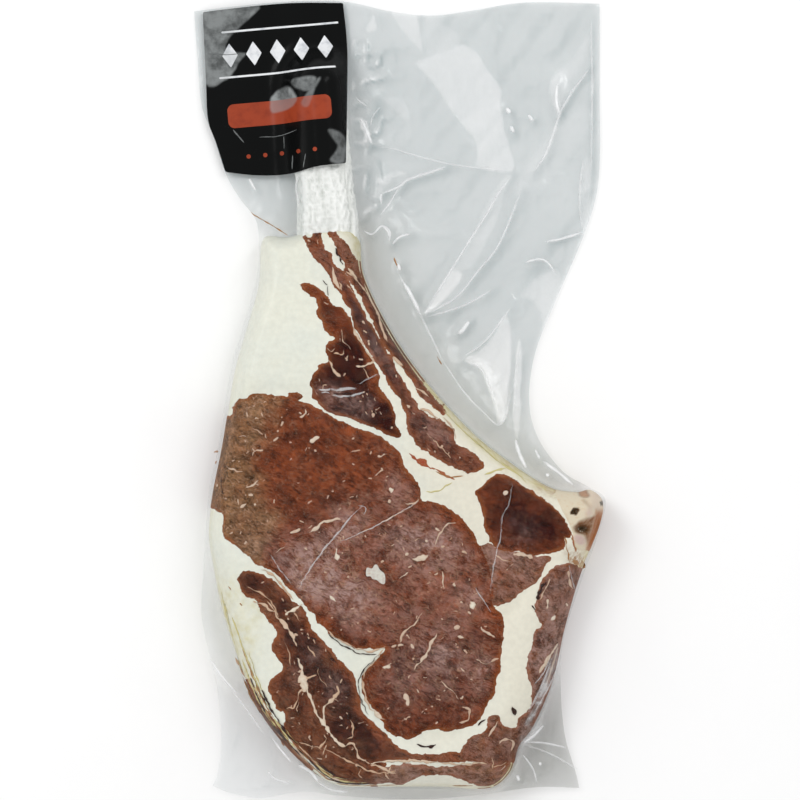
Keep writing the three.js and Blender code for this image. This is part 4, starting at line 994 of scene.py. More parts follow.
def lean_material(settings):
    """Raw lean: red brown in brighter and darker patches, shaded by its fibre bundles, with a mauve
    haze that is a painted reflection of the film, broken into specks, an olive bloom, an orange brown rim and
    pale threads."""
    material, tree, shader = new_material("Lean", 0.5, Specular_IOR_Level=0.05)
    edges, shade, height = grain(tree, 2.4, 0.5, 2.6)
    base = mix(tree, blotches(tree, 6.0, 0.5, 0.16, 0.3), settings.lean, settings.lean_bright)
    deep = times(tree, attribute(tree, "dark"), patchy(tree, 3.0, 0.6, 0.12, 5.5, 0.5, 0.5))
    base = mix(tree, deep, base, settings.lean_dark)
    bloom = mix(tree, blotches(tree, 4.0, 0.5, 0.2, 1.7), settings.olive_dark, settings.olive)
    base = mix(tree, attribute(tree, "olive"), base, bloom)
    base = mix(tree, 1.0, base, ramp(tree, shade, 0.4, 0.6, 0.35, 1.65), "MULTIPLY")
    base = mix(tree, times(tree, attribute(tree, "rim"), 0.8), base, settings.lean_rim)
    streaks = ramp(tree, shade, 0.45, 0.55, 0.3, 1.0)
    broken = times(tree, patchy(tree, 5.0, 0.55, 0.08, 0.7, 0.9, 0.4), streaks)
    # The mauve haze is a painted reflection of the film, broken along the grain
    base = mix(tree, times(tree, attribute(tree, "haze"), broken), base, settings.haze)
    threads = times(tree, edges, blotches(tree, 5.0, 0.45, 0.15, 1.3))
    for mask, share in ((threads, 0.45), (blotches(tree, 2.0, 0.36, 0.04, 2.1), 0.6)):
        marbled = times(tree, mask, attribute(tree, "marbled"))
        base = mix(tree, times(tree, marbled, share), base, settings.pale)
    paint(tree, shader, base)
    bump(tree, shader, height, 0.25, 0.4)
    return material


def fat_material(settings):
    """Firm fat: cream, cooler in broad patches, yellow at its rim, brown and pink stains."""
    material, tree, shader = new_material("Fat", 0.45, Specular_IOR_Level=0.25)
    base = mix(tree, blotches(tree, 20.0, 0.5, 0.2, 3.3), settings.fat, settings.fat_cool)
    base = mix(tree, times(tree, attribute(tree, "warm"), 0.8), base, settings.fat_warm)
    yellow = times(tree, attribute(tree, "yellow"), patchy(tree, 3.0, 0.5, 0.2, 4.1, 0.7, 0.3))
    base = mix(tree, yellow, base, settings.fat_yellow)
    stained = times(tree, attribute(tree, "stain"), blotches(tree, 1.8, 0.5, 0.2, 5.2))
    base = mix(tree, stained, base, settings.stain)
    lumps = cloud(tree, place(tree), 420.0, 4.0)[0]
    paint(tree, shader, mix(tree, 1.0, base, ramp(tree, lumps, 0.3, 0.7, 0.95, 1.04), "MULTIPLY"))
    bump(tree, shader, lumps, 0.2, 0.3)
    return material


def thread_material(name, low, high):
    """Seams, flecks and stains: from one colour to another by the stroke's tone, in patches."""
    material, tree, shader = new_material(name, 0.5, Specular_IOR_Level=0.2)
    tone = times(tree, attribute(tree, "tone"), patchy(tree, 1.6, 0.55, 0.25, 6.4, 0.5, 0.5))
    paint(tree, shader, mix(tree, tone, low, high))
    return material


def bone_material(settings):
    """Cut bone: cream with tan specks, brown in its hollow, rust coloured at the bank, pinkish grey
    on the gristle and on one small painted shadow, and nearly black where it is deepest."""
    material, tree, shader = new_material("Bone", 0.45, Specular_IOR_Level=0.06)
    tan = times(tree, blotches(tree, 2.4, 0.38, 0.12, 7.1), 0.75)
    base = mix(tree, tan, settings.bone, settings.bone_tan)
    # The pinkish grey share also holds one small painted shadow
    for name, colour, size in (("ring", settings.ring, 1.5), ("rust", settings.rust, 2.6),
                               ("pink", settings.gristle, 2.0), ("hollow", settings.hollow, 3.0)):
        share = times(tree, attribute(tree, name), patchy(tree, size, 0.55, 0.2, 7.9, 0.3, 0.7))
        base = mix(tree, share, base, colour)
    paint(tree, shader, base)
    bump(tree, shader, cloud(tree, place(tree), 700.0, 4.0)[0], 0.4, 0.3)
    return material


def film_material(settings):
    """Clear film: nearly see-through, with a grey veil where it lies loose, green beside the meat,
    painted white as a highlight where a fold catches the light and as painted light where meat and cloth shade
    it, and fine crumples in its gloss."""
    material, tree, shader = new_material("Film", 0.14, IOR=2.1)
    material.use_transparent_shadow = True
    base = mix(tree, attribute(tree, "tint"), settings.film, settings.film_green)
    paint(tree, shader, mix(tree, attribute(tree, "shine"), base, settings.film_white))
    veil = times(tree, attribute(tree, "veil"), patchy(tree, 26.0, 0.5, 0.3, 8.6, 0.16, 0.92))
    feed(tree, shader.inputs["Alpha"], veil)
    bump(tree, shader, cloud(tree, place(tree), 110.0, 3.0, Distortion=0.8)[0], 0.4, 1.2)
    return material


def glint_crease_material(settings):
    """Painted highlights on sharp creases of the film: white, and fading where they are fine."""
    material, tree, shader = new_material("Film crease glint", 0.2)
    material.use_transparent_shadow = True
    paint(tree, shader, settings.film_white)
    painted_light = times(tree, attribute(tree, "tone"), patchy(tree, 5.0, 0.6, 0.25, 9.2, 0.5, 0.4))
    feed(tree, shader.inputs["Alpha"], painted_light)
    return material


def label_material(settings):
    """Glossy black print, grey where a glare of the film over it is painted."""
    material, tree, shader = new_material("Label print", 0.2, Specular_IOR_Level=0.06)
    glare = times(tree, attribute(tree, "glare"), patchy(tree, 7.0, 0.55, 0.16, 3.9, 0.65, 0.35))
    paint(tree, shader, mix(tree, glare, settings.label, settings.label_glare))
    bump(tree, shader, cloud(tree, place(tree), 90.0, 3.0)[0], 0.25, 0.8)
    return material


def ink_material(settings, name, bright, dull):
    """Printed ink with a duller tone in patches, greyer where the film over it catches the light."""
    material, tree, shader = new_material(name, 0.3, Specular_IOR_Level=0.2)
    base = mix(tree, blotches(tree, 5.0, 0.4, 0.2, 2.7), bright, dull)
    glare = times(tree, attribute(tree, "glare"), 0.45)
    paint(tree, shader, mix(tree, glare, base, settings.label_glare))
    return material


def guard_material(settings):
    """White cloth: greyer in its creases by painted shade, with a fine weave and a few grey specks."""
    material, tree, shader = new_material("Guard cloth", 0.6, Specular_IOR_Level=0.2)
    base = mix(tree, attribute(tree, "painted_crease_shading"), settings.guard, settings.guard_shade)
    specks = times(tree, blotches(tree, 1.6, 0.27, 0.03, 4.4), 0.8)
    paint(tree, shader, mix(tree, specks, base, settings.guard_speck))
    weave = add(tree, "ShaderNodeTexVoronoi", {"Vector": place(tree), "Scale": 1400.0})
    bump(tree, shader, weave.outputs["Distance"], 0.5, 0.15)
    return material


def floor_material(settings):
    """Pale matt floor, very slightly uneven."""
    material, tree, shader = new_material("Floor", 0.9, Specular_IOR_Level=0.2)
    darker = [0.985 * value for value in settings.floor]
    paint(tree, shader, mix(tree, blotches(tree, 60.0, 0.5, 0.3, 1.1), settings.floor, darker))
    return material


# The pieces

def finish(piece, material):
    """Every piece has one material and rides on the one body."""
    piece.data.materials.append(material)
    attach(piece, "root")
    return piece


def joined_piece(name, parts, material):
    """A piece from parts, each with corners, faces and a tone."""
    corners, faces, tones = join(parts)
    return finish(new_object(name, corners, faces, {"tone": tones}), material)


def spots(x, y, places):
    """Sum of bells exp(-(distance / radius)^2) about places, each times its strength, up to 1."""
    total = sum((s * np.exp(-((x - cx)**2 + (y - cy)**2) / r**2) for cx, cy, r, s in places), 0 * x)
    return np.clip(total, 0, 1)


def eye_tones(x, y, inside, wander, rough):
    """Dark, painted reflection, olive and marbled on the eye: the painted reflection of the film, a mauve
    haze, lies between red places, and a bloom on the left.
    """
    olive = smoothstep(-x + wander, 55, 67)
    red = spots(x, y, EYE_RED)
    haze = spots(x + wander / 2, y + wander / 3, EYE_PAINTED_REFLECTION) + 0.15 * smoothstep(-y, 40, 80)
    haze = haze * (1 - 0.7 * red) * smoothstep(inside + 0.5 * wander, 0, 7) * (0.65 + 0.5 * rough)
    low = 0.3 * smoothstep(-y, 95, 125) * smoothstep(-x, -40, -28)
    dark = 0.35 * smoothstep(noise(x, y, 9, 8), 0.1, 0.8) + low
    marbled = 0.35 + 0.65 * smoothstep(haze + 0.5 * olive, 0, 0.5)
    return dark, np.clip(haze, 0, 0.95), 0.85 * olive * (0.7 + 0.3 * rough), marbled


def muscle_tones(name, x, y, inside, wander, rough):
    """Dark, painted reflection, olive and marbled on another muscle: its own shares, with dark places and
    places of painted reflection.
    """
    dark, haze, olive = LEAN_TONES[name]
    drift_x, drift_y = x + 2.5 * noise(x, y, 6, 13), y + 2.5 * noise(x, y, 6, 14)
    dark = dark + spots(drift_x, drift_y, DARK_SPOTS.get(name, []))
    haze = haze + spots(drift_x, drift_y, PAINTED_REFLECTION_SPOTS.get(name, []))
    olive = olive * (1 - 0.8 * np.clip(dark, 0, 1))
    deep = smoothstep(inside + 0.4 * wander, 0, 3)
    patchy_painted_reflection = np.clip(haze * (0.4 + 0.8 * rough), 0, 1)
    marbled = 0.4 - 0.3 * np.clip(dark, 0, 1)
    return np.clip(dark * deep * (0.8 + 0.4 * rough), 0, 1), patchy_painted_reflection, olive * (0.4 + 0.8 * rough), marbled


def lean_tones(name, line):
    """Masks on a muscle: darkness, painted reflection of the film (a mauve haze), olive bloom, orange rim and
    marbling, by place and by the distance from the muscle's outline."""
    def tones(x, y):
        inside = -outside(x, y, line)
        wander = 6 * noise(x, y, 14, 5) + 3 * noise(x, y, 5, 6)
        rough = 0.5 + 0.5 * noise(x, y, 6, 9)
        rim = falloff(np.maximum(inside - 0.2, 0), 0.8) * (0.75 + 0.5 * noise(x, y, 4, 12))
        if name == "eye":
            dark, haze, olive, marbled = eye_tones(x, y, inside, wander, rough)
        else:
            dark, haze, olive, marbled = muscle_tones(name, x, y, inside, wander, rough)
        return {"dark": dark, "haze": haze, "olive": olive, "rim": np.clip(rim, 0, 1), "marbled": marbled}
    return tones


def ragged_region(line, seed, least, outward):
    """The inside of an outline moved outward a little, whose edge wanders, in scallops a few
    millimetres long, and stays a least depth inside the steak."""
    def region(x, y):
        wander = (0.45 * noise(x, y, 3.4, seed) + 0.45 * noise(x, y, 1.7, seed + 1)
                  + 0.3 * noise(x, y, 0.9, seed + 60))
        return np.maximum(outside(x, y, line) + wander - outward, least - meat_depth(x, y))
    return region


def lean_lift(region):
    """Lean stands at its level under the film, and plunges under the fat at its own edge."""
    def lift(x, y):
        rise = 1 - np.exp(-np.clip(-region(x, y) + 0.6, 0, None) / 0.6)
        swell = 0.12 * noise(x, y, 5, 21) + 0.06 * noise(x, y, 1.7, 22)
        return -LEAN_UNDER_FILM - 0.9 * (1 - rise) + swell * rise
    return lift


CORNER_LINE = smooth_line(BONE_CORNER, 90, closed=True)
HOLLOW_LINE = smooth_line(HOLLOW, 60, closed=True)
corner_distance = Field(lambda x, y: outside(x, y, CORNER_LINE))
hollow_distance = Field(lambda x, y: outside(x, y, HOLLOW_LINE))


def oval(x, y, centre, wide, tall, turn=0.0):
    """Distance from a centre as a share of an oval's own radius in that direction."""
    u, v = x - centre[0], y - centre[1]
    c, s = math.cos(turn), math.sin(turn)
    return np.hypot((c * u + s * v) / wide, (c * v - s * u) / tall)


def bone_pits(x, y):
    """Depth of the backbone's pits: a small tilted hole, and a bowl with a deep place inside the
    hollow, around a knob of gristle."""
    hole = 1.5 * smoothstep(-oval(x, y, PIT, 2.2, 1.5, 0.6), -1.1, -0.1)
    bowl = 1.6 * smoothstep(-hollow_distance(x, y), -0.5, 2.5)
    core = 1.8 * smoothstep(-oval(x, y, HOLLOW_CORE, 3.4, 2.7), -1.2, -0.3)
    knob = 1.2 * smoothstep(-oval(x, y, GRISTLE, 3.2, 2.4, -0.6), -1.2, -0.4)
    return hole + np.maximum(bowl + core - knob, 0)


def fat_lift(x, y):
    """The fat lies deeper than the lean, dips at the pits and at the edges of the muscles."""
    return -FAT_UNDER_FILM + 0.12 * noise(x, y, 7, 31) + 0.05 * noise(x, y, 2.2, 32) - bone_pits(x, y)


def fat_tones(x, y):
    """Yellow rim and lower left, warm seams low and on the right, brown stains near the backbone."""
    depth = meat_depth(x, y)
    wander = noise(x, y, 9, 33)
    streaks = noise(0.45 * x + 0.9 * y, 0.9 * x - 0.45 * y, 2.5, 34)
    lower_left = smoothstep(-x + 6 * wander, 58, 72) * smoothstep(-y, 70, 95) * (0.7 + 0.5 * streaks)
    right_edge = falloff(depth, 3.2) * smoothstep(x + 0.3 * y, -20, -6)
    edge = 0.5 * falloff(depth, 1.6) * smoothstep(-y, -30, 20)
    warm = (smoothstep(x + 0.35 * y, -20, 15) * (1 - smoothstep(depth, 30, 60))
            + 0.6 * smoothstep(-y, 120, 160) * smoothstep(x, -20, 20))
    return {"yellow": np.clip(right_edge * (1.0 + 0.35 * wander) + 0.55 * lower_left + edge, 0, 1),
            "warm": np.clip(warm + spots(x, y, PINK_SPOTS), 0, 1), "stain": spots(x, y, STAIN_SPOTS)}


def make_fat(settings):
    """The fat body: the whole steak, on which muscles and bone lie."""
    fat = meat_piece("fat", lambda x, y: np.full(np.shape(x), -1e3), bounds_of(STEAK, 2), settings.fat_step,
                     fat_lift, 0.0, fat_tones)
    finish(fat, fat_material(settings))


def make_lean(settings):
    """Twelve muscles, each from one cut face to the other."""
    material = lean_material(settings)
    for seed, (name, points) in enumerate(MUSCLES.items()):
        line = smooth_line(points, max(60, len(points) * 5), closed=True)
        region = ragged_region(line, 40 + 2 * seed, -9 if name in REACH_THE_SIDE else 1.4,
                               OUTWARD.get(name, 0.25))
        piece = meat_piece("lean_" + name, lambda x, y: region(x, y) - 0.6, bounds_of(points, 2.5),
                           settings.lean_step, lean_lift(region), 0.3, lean_tones(name, line))
        finish(piece, material)


def thread_piece(name, strokes, rise, material, below=LEAN_UNDER_FILM, seed=0):
    """Strokes as ribbons on both cut faces, their tone from thin to wide, some duller than others."""
    draw = np.random.default_rng(seed)
    parts = []
    for k, (width, points) in enumerate(strokes):
        tone = min(1.0, 0.45 * width * draw.uniform(0.5, 1.3))
        for side in (1, -1):
            corners, faces, fade = ribbon(points, width, bed(below, side), rise, seed + 4 * k, side, 0.55)
            parts.append((corners, faces, tone * (0.4 + 0.6 * fade)))
    return joined_piece(name, parts, material)


def short_flecks(name, box, count, seed, grain_turn, room):
    """Seeded short flecks over one muscle, most of them along its grain, with room to its edge."""
    draw = np.random.default_rng(seed)
    line = smooth_line(MUSCLES[name], 200, closed=True)
    x, y = draw.uniform(box[0], box[1], 4 * count), draw.uniform(box[2], box[3], 4 * count)
    inside = outside(x, y, line) < -room
    turn = draw.normal(grain_turn, 0.8, 4 * count)
    length, width = draw.uniform(0.6, 2.4, 4 * count), draw.uniform(0.35, 1.0, 4 * count)
    ends = np.column_stack([np.cos(turn), np.sin(turn)]) * length[:, None] / 2
    middle = np.column_stack([x, y])
    bend = middle + draw.normal(0, 0.25, middle.shape)
    return [(w, [tuple(m - e), tuple(b), tuple(m + e)])
            for w, m, b, e in list(zip(width[inside], middle[inside], bend[inside], ends[inside]))[:count]]


def edge_strokes(count, seed):
    """Seeded strokes that follow the steak's outline at the lower left, a few millimetres inside."""
    draw = np.random.default_rng(seed)
    line = smooth_line(STEAK, 700, closed=True)
    inward = across(line)
    low_left = np.flatnonzero((line[:, 1] < -95) & (line[:, 0] < -5))
    strokes = []
    for _ in range(count):
        start, length = draw.integers(0, len(low_left) - 40), draw.integers(12, 38)
        inset, width = draw.uniform(2.0, 5.8), draw.uniform(0.35, 1.0)
        part = low_left[start:start + length:6]
        drift = np.linspace(0, draw.uniform(-1.2, 1.2), len(part))
        strokes.append((width, line[part] + inward[part] * (inset + drift)[:, None]))
    return strokes


def make_marbling(settings):
    """Seams and flecks of fat on the lean, gaps between muscles, and threads and stains on the fat."""
    flecks = []
    for name, box, share, seed, turn, room in FLECKED:
        flecks += short_flecks(name, box, int(share * settings.flecks), seed, turn, room)
    pale = thread_material("Marbling", settings.pale, settings.fat_warm)
    thread_piece("marbling", MARBLING + flecks, 0.3, pale, seed=100)
    seam = thread_material("Seam fat", settings.seam_thin, settings.fat_warm)
    thread_piece("cap_seams", CAP_SEAMS, 0.32, seam, seed=400)
    thread_piece("strip_seams", STRIP_SEAMS, 0.32, seam, seed=500)
    lean_top = bed(LEAN_UNDER_FILM)
    corners, faces = patch(smooth_line(LARGE_FLECK, 60, closed=True), 0.5,
                           lambda x, y: lean_top(x, y) + 0.22 + 0.06 * noise(x, y, 1.2, 61),
                           lambda x, y: lean_top(x, y) - 0.4)
    # The large fleck runs from the painted reflection's mauve to cool fat
    fleck_under_painted_reflection = thread_material("Fleck under painted reflection", settings.haze, settings.fat_cool)
    joined_piece("large_fleck", [(corners, faces, 0.8)], fleck_under_painted_reflection)
    gap = thread_material("Gaps", settings.lean_dark, settings.gap)
    thread_piece("dark_gaps", DARK_GAPS + edge_strokes(9, 12), 0.28, gap, seed=600)
    yellow = thread_material("Yellow threads", settings.fat_yellow, settings.fat_yellow)
    thread_piece("yellow_threads", YELLOW_THREADS + edge_strokes(12, 13), 0.4, yellow,
                 FAT_UNDER_FILM, 700)
    brown = thread_material("Brown threads", settings.stain, settings.stain)
    thread_piece("brown_threads", BROWN_THREADS + edge_strokes(11, 14), 0.3, brown,
                 FAT_UNDER_FILM, 800)
    blood = thread_material("Blood traces", settings.rust, settings.blood)
    thread_piece("blood_traces", BLOOD_TRACES, 0.2, blood, FAT_UNDER_FILM, 900)


def corner_tones(x, y):
    """Where the backbone is black, brown, rust coloured or pinkish grey; one small grey spot is a painted
    shadow.
    """
    hollow = smoothstep(-hollow_distance(x, y) + 0.6 * noise(x, y, 2, 72), -0.7, 1.3)
    core = smoothstep(-oval(x, y, HOLLOW_CORE, 3.9, 2.4, -0.1), -1.3, -0.1)
    hole = smoothstep(-oval(x, y, PIT, 2.2, 1.5, 0.6) + 0.3 * noise(x, y, 1.2, 74), -1.15, -0.75)
    notch = smoothstep(-oval(x, y, NOTCH, 1.0, 1.8), -1.2, -0.8)
    knob = smoothstep(-oval(x, y, GRISTLE, 3.4, 2.4, -0.6), -1.15, -0.6)
    beyond = x - 89.2 + 0.28 * np.maximum(-y - 54, 0)
    bank = smoothstep(beyond + 0.7 * noise(x, y, 3, 73), -1.2, 0.6) * smoothstep(-y, 48.5, 52)
    pale_line = falloff(beyond, 0.45) * smoothstep(-y, 49, 52) * smoothstep(y, -70, -63)
    marrow = oval(x, y, MARROW, 2.5, 1.2, -0.15)
    rim = falloff(marrow - 0.9, 0.25)
    arc = np.exp(-((np.hypot(x - 80, y + 52) - 7)**2 / 0.8)) * smoothstep(x, 82, 85) * smoothstep(y, -52, -46)
    # A small painted shadow, drawn in the gristle's grey
    painted_shadow_spot = spots(x, y, [(86.4, -51.6, 1.8, 0.7)])
    light = 1 - 0.35 * pale_line
    dark_edge = 0.7 * bank * smoothstep(beyond, 1.5, 3.2) * smoothstep(-y, 54, 58)
    return {"hollow": np.clip(core + 0.9 * hole + notch + 0.2 * rim + dark_edge, 0, 1),
            "ring": np.clip(hollow + hole + 0.5 * rim + 0.5 * arc, 0, 1) * light,
            "rust": np.clip(bank * 0.9 + 0.8 * smoothstep(-marrow, -1, -0.7), 0, 1) * light,
            "pink": np.clip(knob + painted_shadow_spot + 0.35 * smoothstep(x, 84, 89) * smoothstep(y, -52, -48), 0, 1)}


def make_bone_corner(settings):
    """The sawn corner of the backbone, with its two hollows."""
    def lift(x, y):
        edge = 0.8 * smoothstep(corner_distance(x, y), -1, 0.4)
        return -0.55 + 0.1 * noise(x, y, 2.5, 71) - bone_pits(x, y) - edge

    corner = meat_piece("bone_corner", corner_distance, bounds_of(BONE_CORNER, 2), 0.5, lift, 0.2,
                        corner_tones)
    finish(corner, bone_material(settings))


def pleats(angle, share):
    """Folds of the cloth: sines round the bone that bend a little along it, broken up by a random
    field drawn out along the bone, as a height near 0."""
    drift = noise(angle, 5 * share, 1.3, 53) + 0.5 * noise(2 * angle, 12 * share, 1, 54)
    waves = sum(size * np.sin(count * angle + start + 1.8 * drift)
                for count, size, start in ((6, 0.3, 0.4), (13, 0.2, 1.7), (23, 0.15, 2.9)))
    creased = (1.0 * (0.4 - np.abs(noise(6 * angle, 24 * share, 1, 55)))
               + 0.8 * (0.4 - np.abs(noise(13 * angle, 50 * share, 1, 56))))
    return waves + creased


def make_guard(settings):
    """White cloth round the rib bone: an oval carried along the bone, its radius changed by the
    pleats, kept under the film and closed at its ends."""
    line = smooth_line(BONE, 150) - (1.5, 0)
    around = np.linspace(0, 2 * math.pi, 220, endpoint=False)
    share, angle = np.meshgrid(np.linspace(0, 1, len(line)), around, indexing="ij")
    end = quarter_round(np.minimum(share / 0.03, (1 - share) / 0.1)) * 0.98 + 0.02
    fold = pleats(angle, share)
    foot = 1.4 * smoothstep(-share, -0.4, -0.05)
    wide = (GUARD_WIDE + foot + 0.8 * fold) * end
    tall = (GUARD_TALL + 0.8 * fold) * end
    right = across(line)
    x = line[:, None, 0] + right[:, None, 0] * wide * np.cos(angle)
    y = line[:, None, 1] + right[:, None, 1] * wide * np.cos(angle) + 1.2 * fold * (share < 0.02)
    z = np.minimum(GUARD_MIDDLE + tall * np.sin(angle), skirt_top(x, y) - 1.0 + 0.4 * fold)
    corners, faces = tube(np.dstack([x, y, z]))
    # Painted shade: the cloth is greyer where the pleats dip
    painted_crease_shading = np.clip(0.3 - 0.6 * fold, 0, 1).ravel()
    guard = new_object("bone_guard", corners, faces, {"painted_crease_shading": painted_crease_shading}, sharp=60)
    finish(guard, guard_material(settings))


# The bag and its label

def blend_edges(edges, steps_across, steps_along):
    """Coons patch between four edge lines: the blend of left and right plus the blend of bottom
    and top, less that of the corners."""
    lines = {name: smooth_line(points, steps_along if name in ("left", "right") else steps_across)
             for name, points in edges.items()}
    u = np.linspace(0, 1, steps_across + 1)[:, None, None]
    v = np.linspace(0, 1, steps_along + 1)[None, :, None]
    left, right = lines["left"][None], lines["right"][None]
    bottom, top = lines["bottom"][:, None], lines["top"][:, None]
    corners = ((bottom[0] * (1 - u) + bottom[-1] * u) * (1 - v)
               + (top[0] * (1 - u) + top[-1] * u) * v)
    grid = left * (1 - u) + right * u + bottom * (1 - v) + top * v - corners
    return grid[..., 0], grid[..., 1]


def grid_quads(index):
    """Faces of four corners over a grid of corner numbers."""
    return np.column_stack([index[:-1, :-1].ravel(), index[1:, :-1].ravel(),
                            index[1:, 1:].ravel(), index[:-1, 1:].ravel()])


LABEL_LINE = np.vstack([smooth_line(edge, 24)[1:] for edge in LABEL_EDGES])
CREASE_LINES = [(width, smooth_line(points, 30)) for width, points in FILM_CREASES_AND_GLINTS]
label_distance = Field(lambda x, y: outside(x, y, LABEL_LINE))
fold_height = Field(lambda x, y: sum(0.55 * width * falloff(line_distance(x, y, line), 2.6, 1.5)
                                     for width, line in CREASE_LINES))


def beside_cloth(x, y):
    """Share of the crumpled strip of film to the right of the label and the cloth."""
    return falloff(x + 15, 9) * smoothstep(y, 70, 85) * smoothstep(-y, -172, -160)


def long_waves(x, y, stretch, size, seed):
    """Random values that run on for long from the upper right to the lower left."""
    return noise(0.8 * x - 0.6 * y, (0.6 * x + 0.8 * y) / stretch, size, seed)


def film_folds(x, y):
    """Height of the loose film's folds: a ridge on each crease, crumples 1 - |noise| that are
    strongest beside the cloth, and long waves that run down from the upper right to the lower left;
    nothing under the label and at the edge, and little on the meat."""
    crumple = (0.35 * (1 - np.abs(noise(x, y, 17, 81)))**3
               + (0.12 + 1.2 * beside_cloth(x, y)) * (1 - np.abs(noise(x, y, 6, 82)))**3)
    waves = 0.3 * long_waves(x, y, 9, 6, 83) * smoothstep(x, 0, 15)
    free = smoothstep(label_distance(x, y), 0.5, 4) * smoothstep(edge_distance(x, y), 1, 6)
    loose = smoothstep(-steak_depth(x, y), -2, 5)
    return (np.minimum(fold_height(x, y), 1.6) + crumple + waves) * free * (0.08 + 0.92 * loose)


def film_over(x, y):
    """Upper film: the higher of the meat and the skirt, eased where one takes over, plus its folds."""
    depth = steak_depth(x, y)
    meat = np.where(depth > 0, meat_top(x, y, depth), 0) - 0.1
    skirt = skirt_top(x, y)
    gap = np.clip(1 - np.abs(meat - skirt) / 1.5, 0, 1)
    return np.maximum(meat, skirt) + 0.35 * gap**2 * smoothstep(depth, -4, -1) + film_folds(x, y)


def inside_patches(x, y, patches):
    """The strongest of the patches that a point is in, faded over a soft edge that wanders."""
    wander = 0.4 * noise(x, y, 5, 84) + 0.2 * noise(x, y, 2, 85)
    shares = []
    for strength, soft, points in patches:
        outline = smooth_line(points, 60, closed=True)
        shares.append(strength * smoothstep(wander - outside(x, y, outline), -soft, soft))
    return np.max(shares, axis=0)


def film_veil(x, y, lit, steep, settings):
    """How much the film hides: more where the folds are steep, more as painted shade on their sides turned
    from the light at the upper left, more low on the right, less on the left, and little where it clings to
    meat or cloth."""
    low_right, left = 0.35 * smoothstep(x - y, 150, 220), 0.42 * smoothstep(-x - 0.3 * y, 50, 75)
    # The term in -lit is painted shade on fold sides turned from the light at the upper left
    loose = settings.film_veil * (1 + low_right - left + 0.5 * np.clip(steep, 0, 0.6)
                                  + 2.2 * np.clip(-lit, 0, 0.5))
    beside = 0.35 * settings.film_veil * falloff(from_steak(x, y), 9, 1) * smoothstep(x, -60, -10)
    margin = edge_distance(x, y) - steak_depth(x, y)
    cling = np.maximum(smoothstep(steak_depth(x, y), -0.8, 1.2), smoothstep(-bone_distance(x, y), -14, -9))
    cling = np.maximum(cling, 0.8 * smoothstep(-margin, -5, -1))
    return (loose + beside) * (1 - cling) + settings.contact_veil * cling


def film_tones(x, y, settings):
    """Masks on the upper film: painted highlights where patches and folds catch the light at the upper
    left, painted light where the meat and the cloth shade the film, a green tint beside the meat, and a veil
    that all of them thicken."""
    depth, away = steak_depth(x, y), from_steak(x, y)
    along_x, along_y = slope(film_folds, x, y, 0.7)
    lit, steep = 0.75 * along_x - 0.65 * along_y, np.hypot(along_x, along_y)
    veil = film_veil(x, y, lit, steep, settings)
    on_meat = smoothstep(depth, -1, 2)
    rough = 0.75 + 0.5 * noise(x, y, 1.8, 86)
    streaks = 0.95 + 0.12 * long_waves(x, y, 6, 3, 87) + on_meat * (rough - 0.95)
    # Painted light that lifts the film where the cloth and the meat shade it
    painted_light = np.maximum(inside_patches(x, y, PAINTED_LIGHT_FILM), 0.3 * falloff(away, 4, 1))
    painted_light = painted_light * smoothstep(-depth, -0.5, 0.8)
    # Painted highlights on fold slopes that face the light at the upper left, stronger beside the cloth
    painted_facet_light = 1.5 + 0.9 * beside_cloth(x, y)
    shine = inside_patches(x, y, BRIGHT_FILM) * streaks + painted_facet_light * np.clip(lit - 0.04, 0, 0.6)
    shine = np.clip(np.maximum(shine, 2.5 * painted_light), 0, 1) * smoothstep(label_distance(x, y), 0.2, 2)
    green = falloff(away, 11, 1) * smoothstep(-depth, 0, 2) * (0.4 + 0.6 * smoothstep(x, -60, -20))
    green = green + smoothstep(x - y, 165, 220)
    spot = np.exp(-((x - 8.5)**2 / 4 + (y - 16.5)**2 / 9))
    veil = np.maximum(np.maximum(veil * (1 + 0.9 * shine), 0.6 * shine * on_meat), 0.4 * painted_light)
    return {"veil": veil, "tint": np.clip(green + spot, 0, 1), "shine": shine}


def make_film(settings):
    """Both films as one closed shell: a grid between the bag's four edges, above and below."""
    x, y = blend_edges(BAG, settings.film_across, settings.film_along)
    depth = steak_depth(x, y)
    middle = skirt_middle(x, y)
    i, j = np.indices(x.shape)
    from_edge = np.minimum(np.minimum(i, settings.film_across - i),
                           np.minimum(j, settings.film_along - j)).astype(float)
    open_up = 1 - falloff(from_edge, 1.3)
    upper = middle + (film_over(x, y) - middle) * open_up
    skirt = skirt_under(x, y)
    lower = np.where(depth > 0, np.minimum(meat_under(depth), skirt), skirt)
    lower = middle + (np.maximum(lower, 0.03) - middle) * open_up
    index = np.arange(x.size).reshape(x.shape)
    inner = np.zeros(x.shape, dtype=bool)
    inner[1:-1, 1:-1] = True
    below = index.copy()
    below[inner] = x.size + np.arange(inner.sum())
    corners = np.vstack([np.column_stack([x.ravel(), y.ravel(), upper.ravel()]),
                         np.column_stack([x[inner], y[inner], lower[inner]])])
    faces = np.vstack([grid_quads(index), grid_quads(below)[:, ::-1]])
    attributes = {key: np.concatenate([tone.ravel(), tone[inner]])
                  for key, tone in film_tones(x, y, settings).items()}
    film = new_object("bag_film", corners, faces, attributes, sharp=80)
    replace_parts(finish(film, film_material(settings)), "bag")


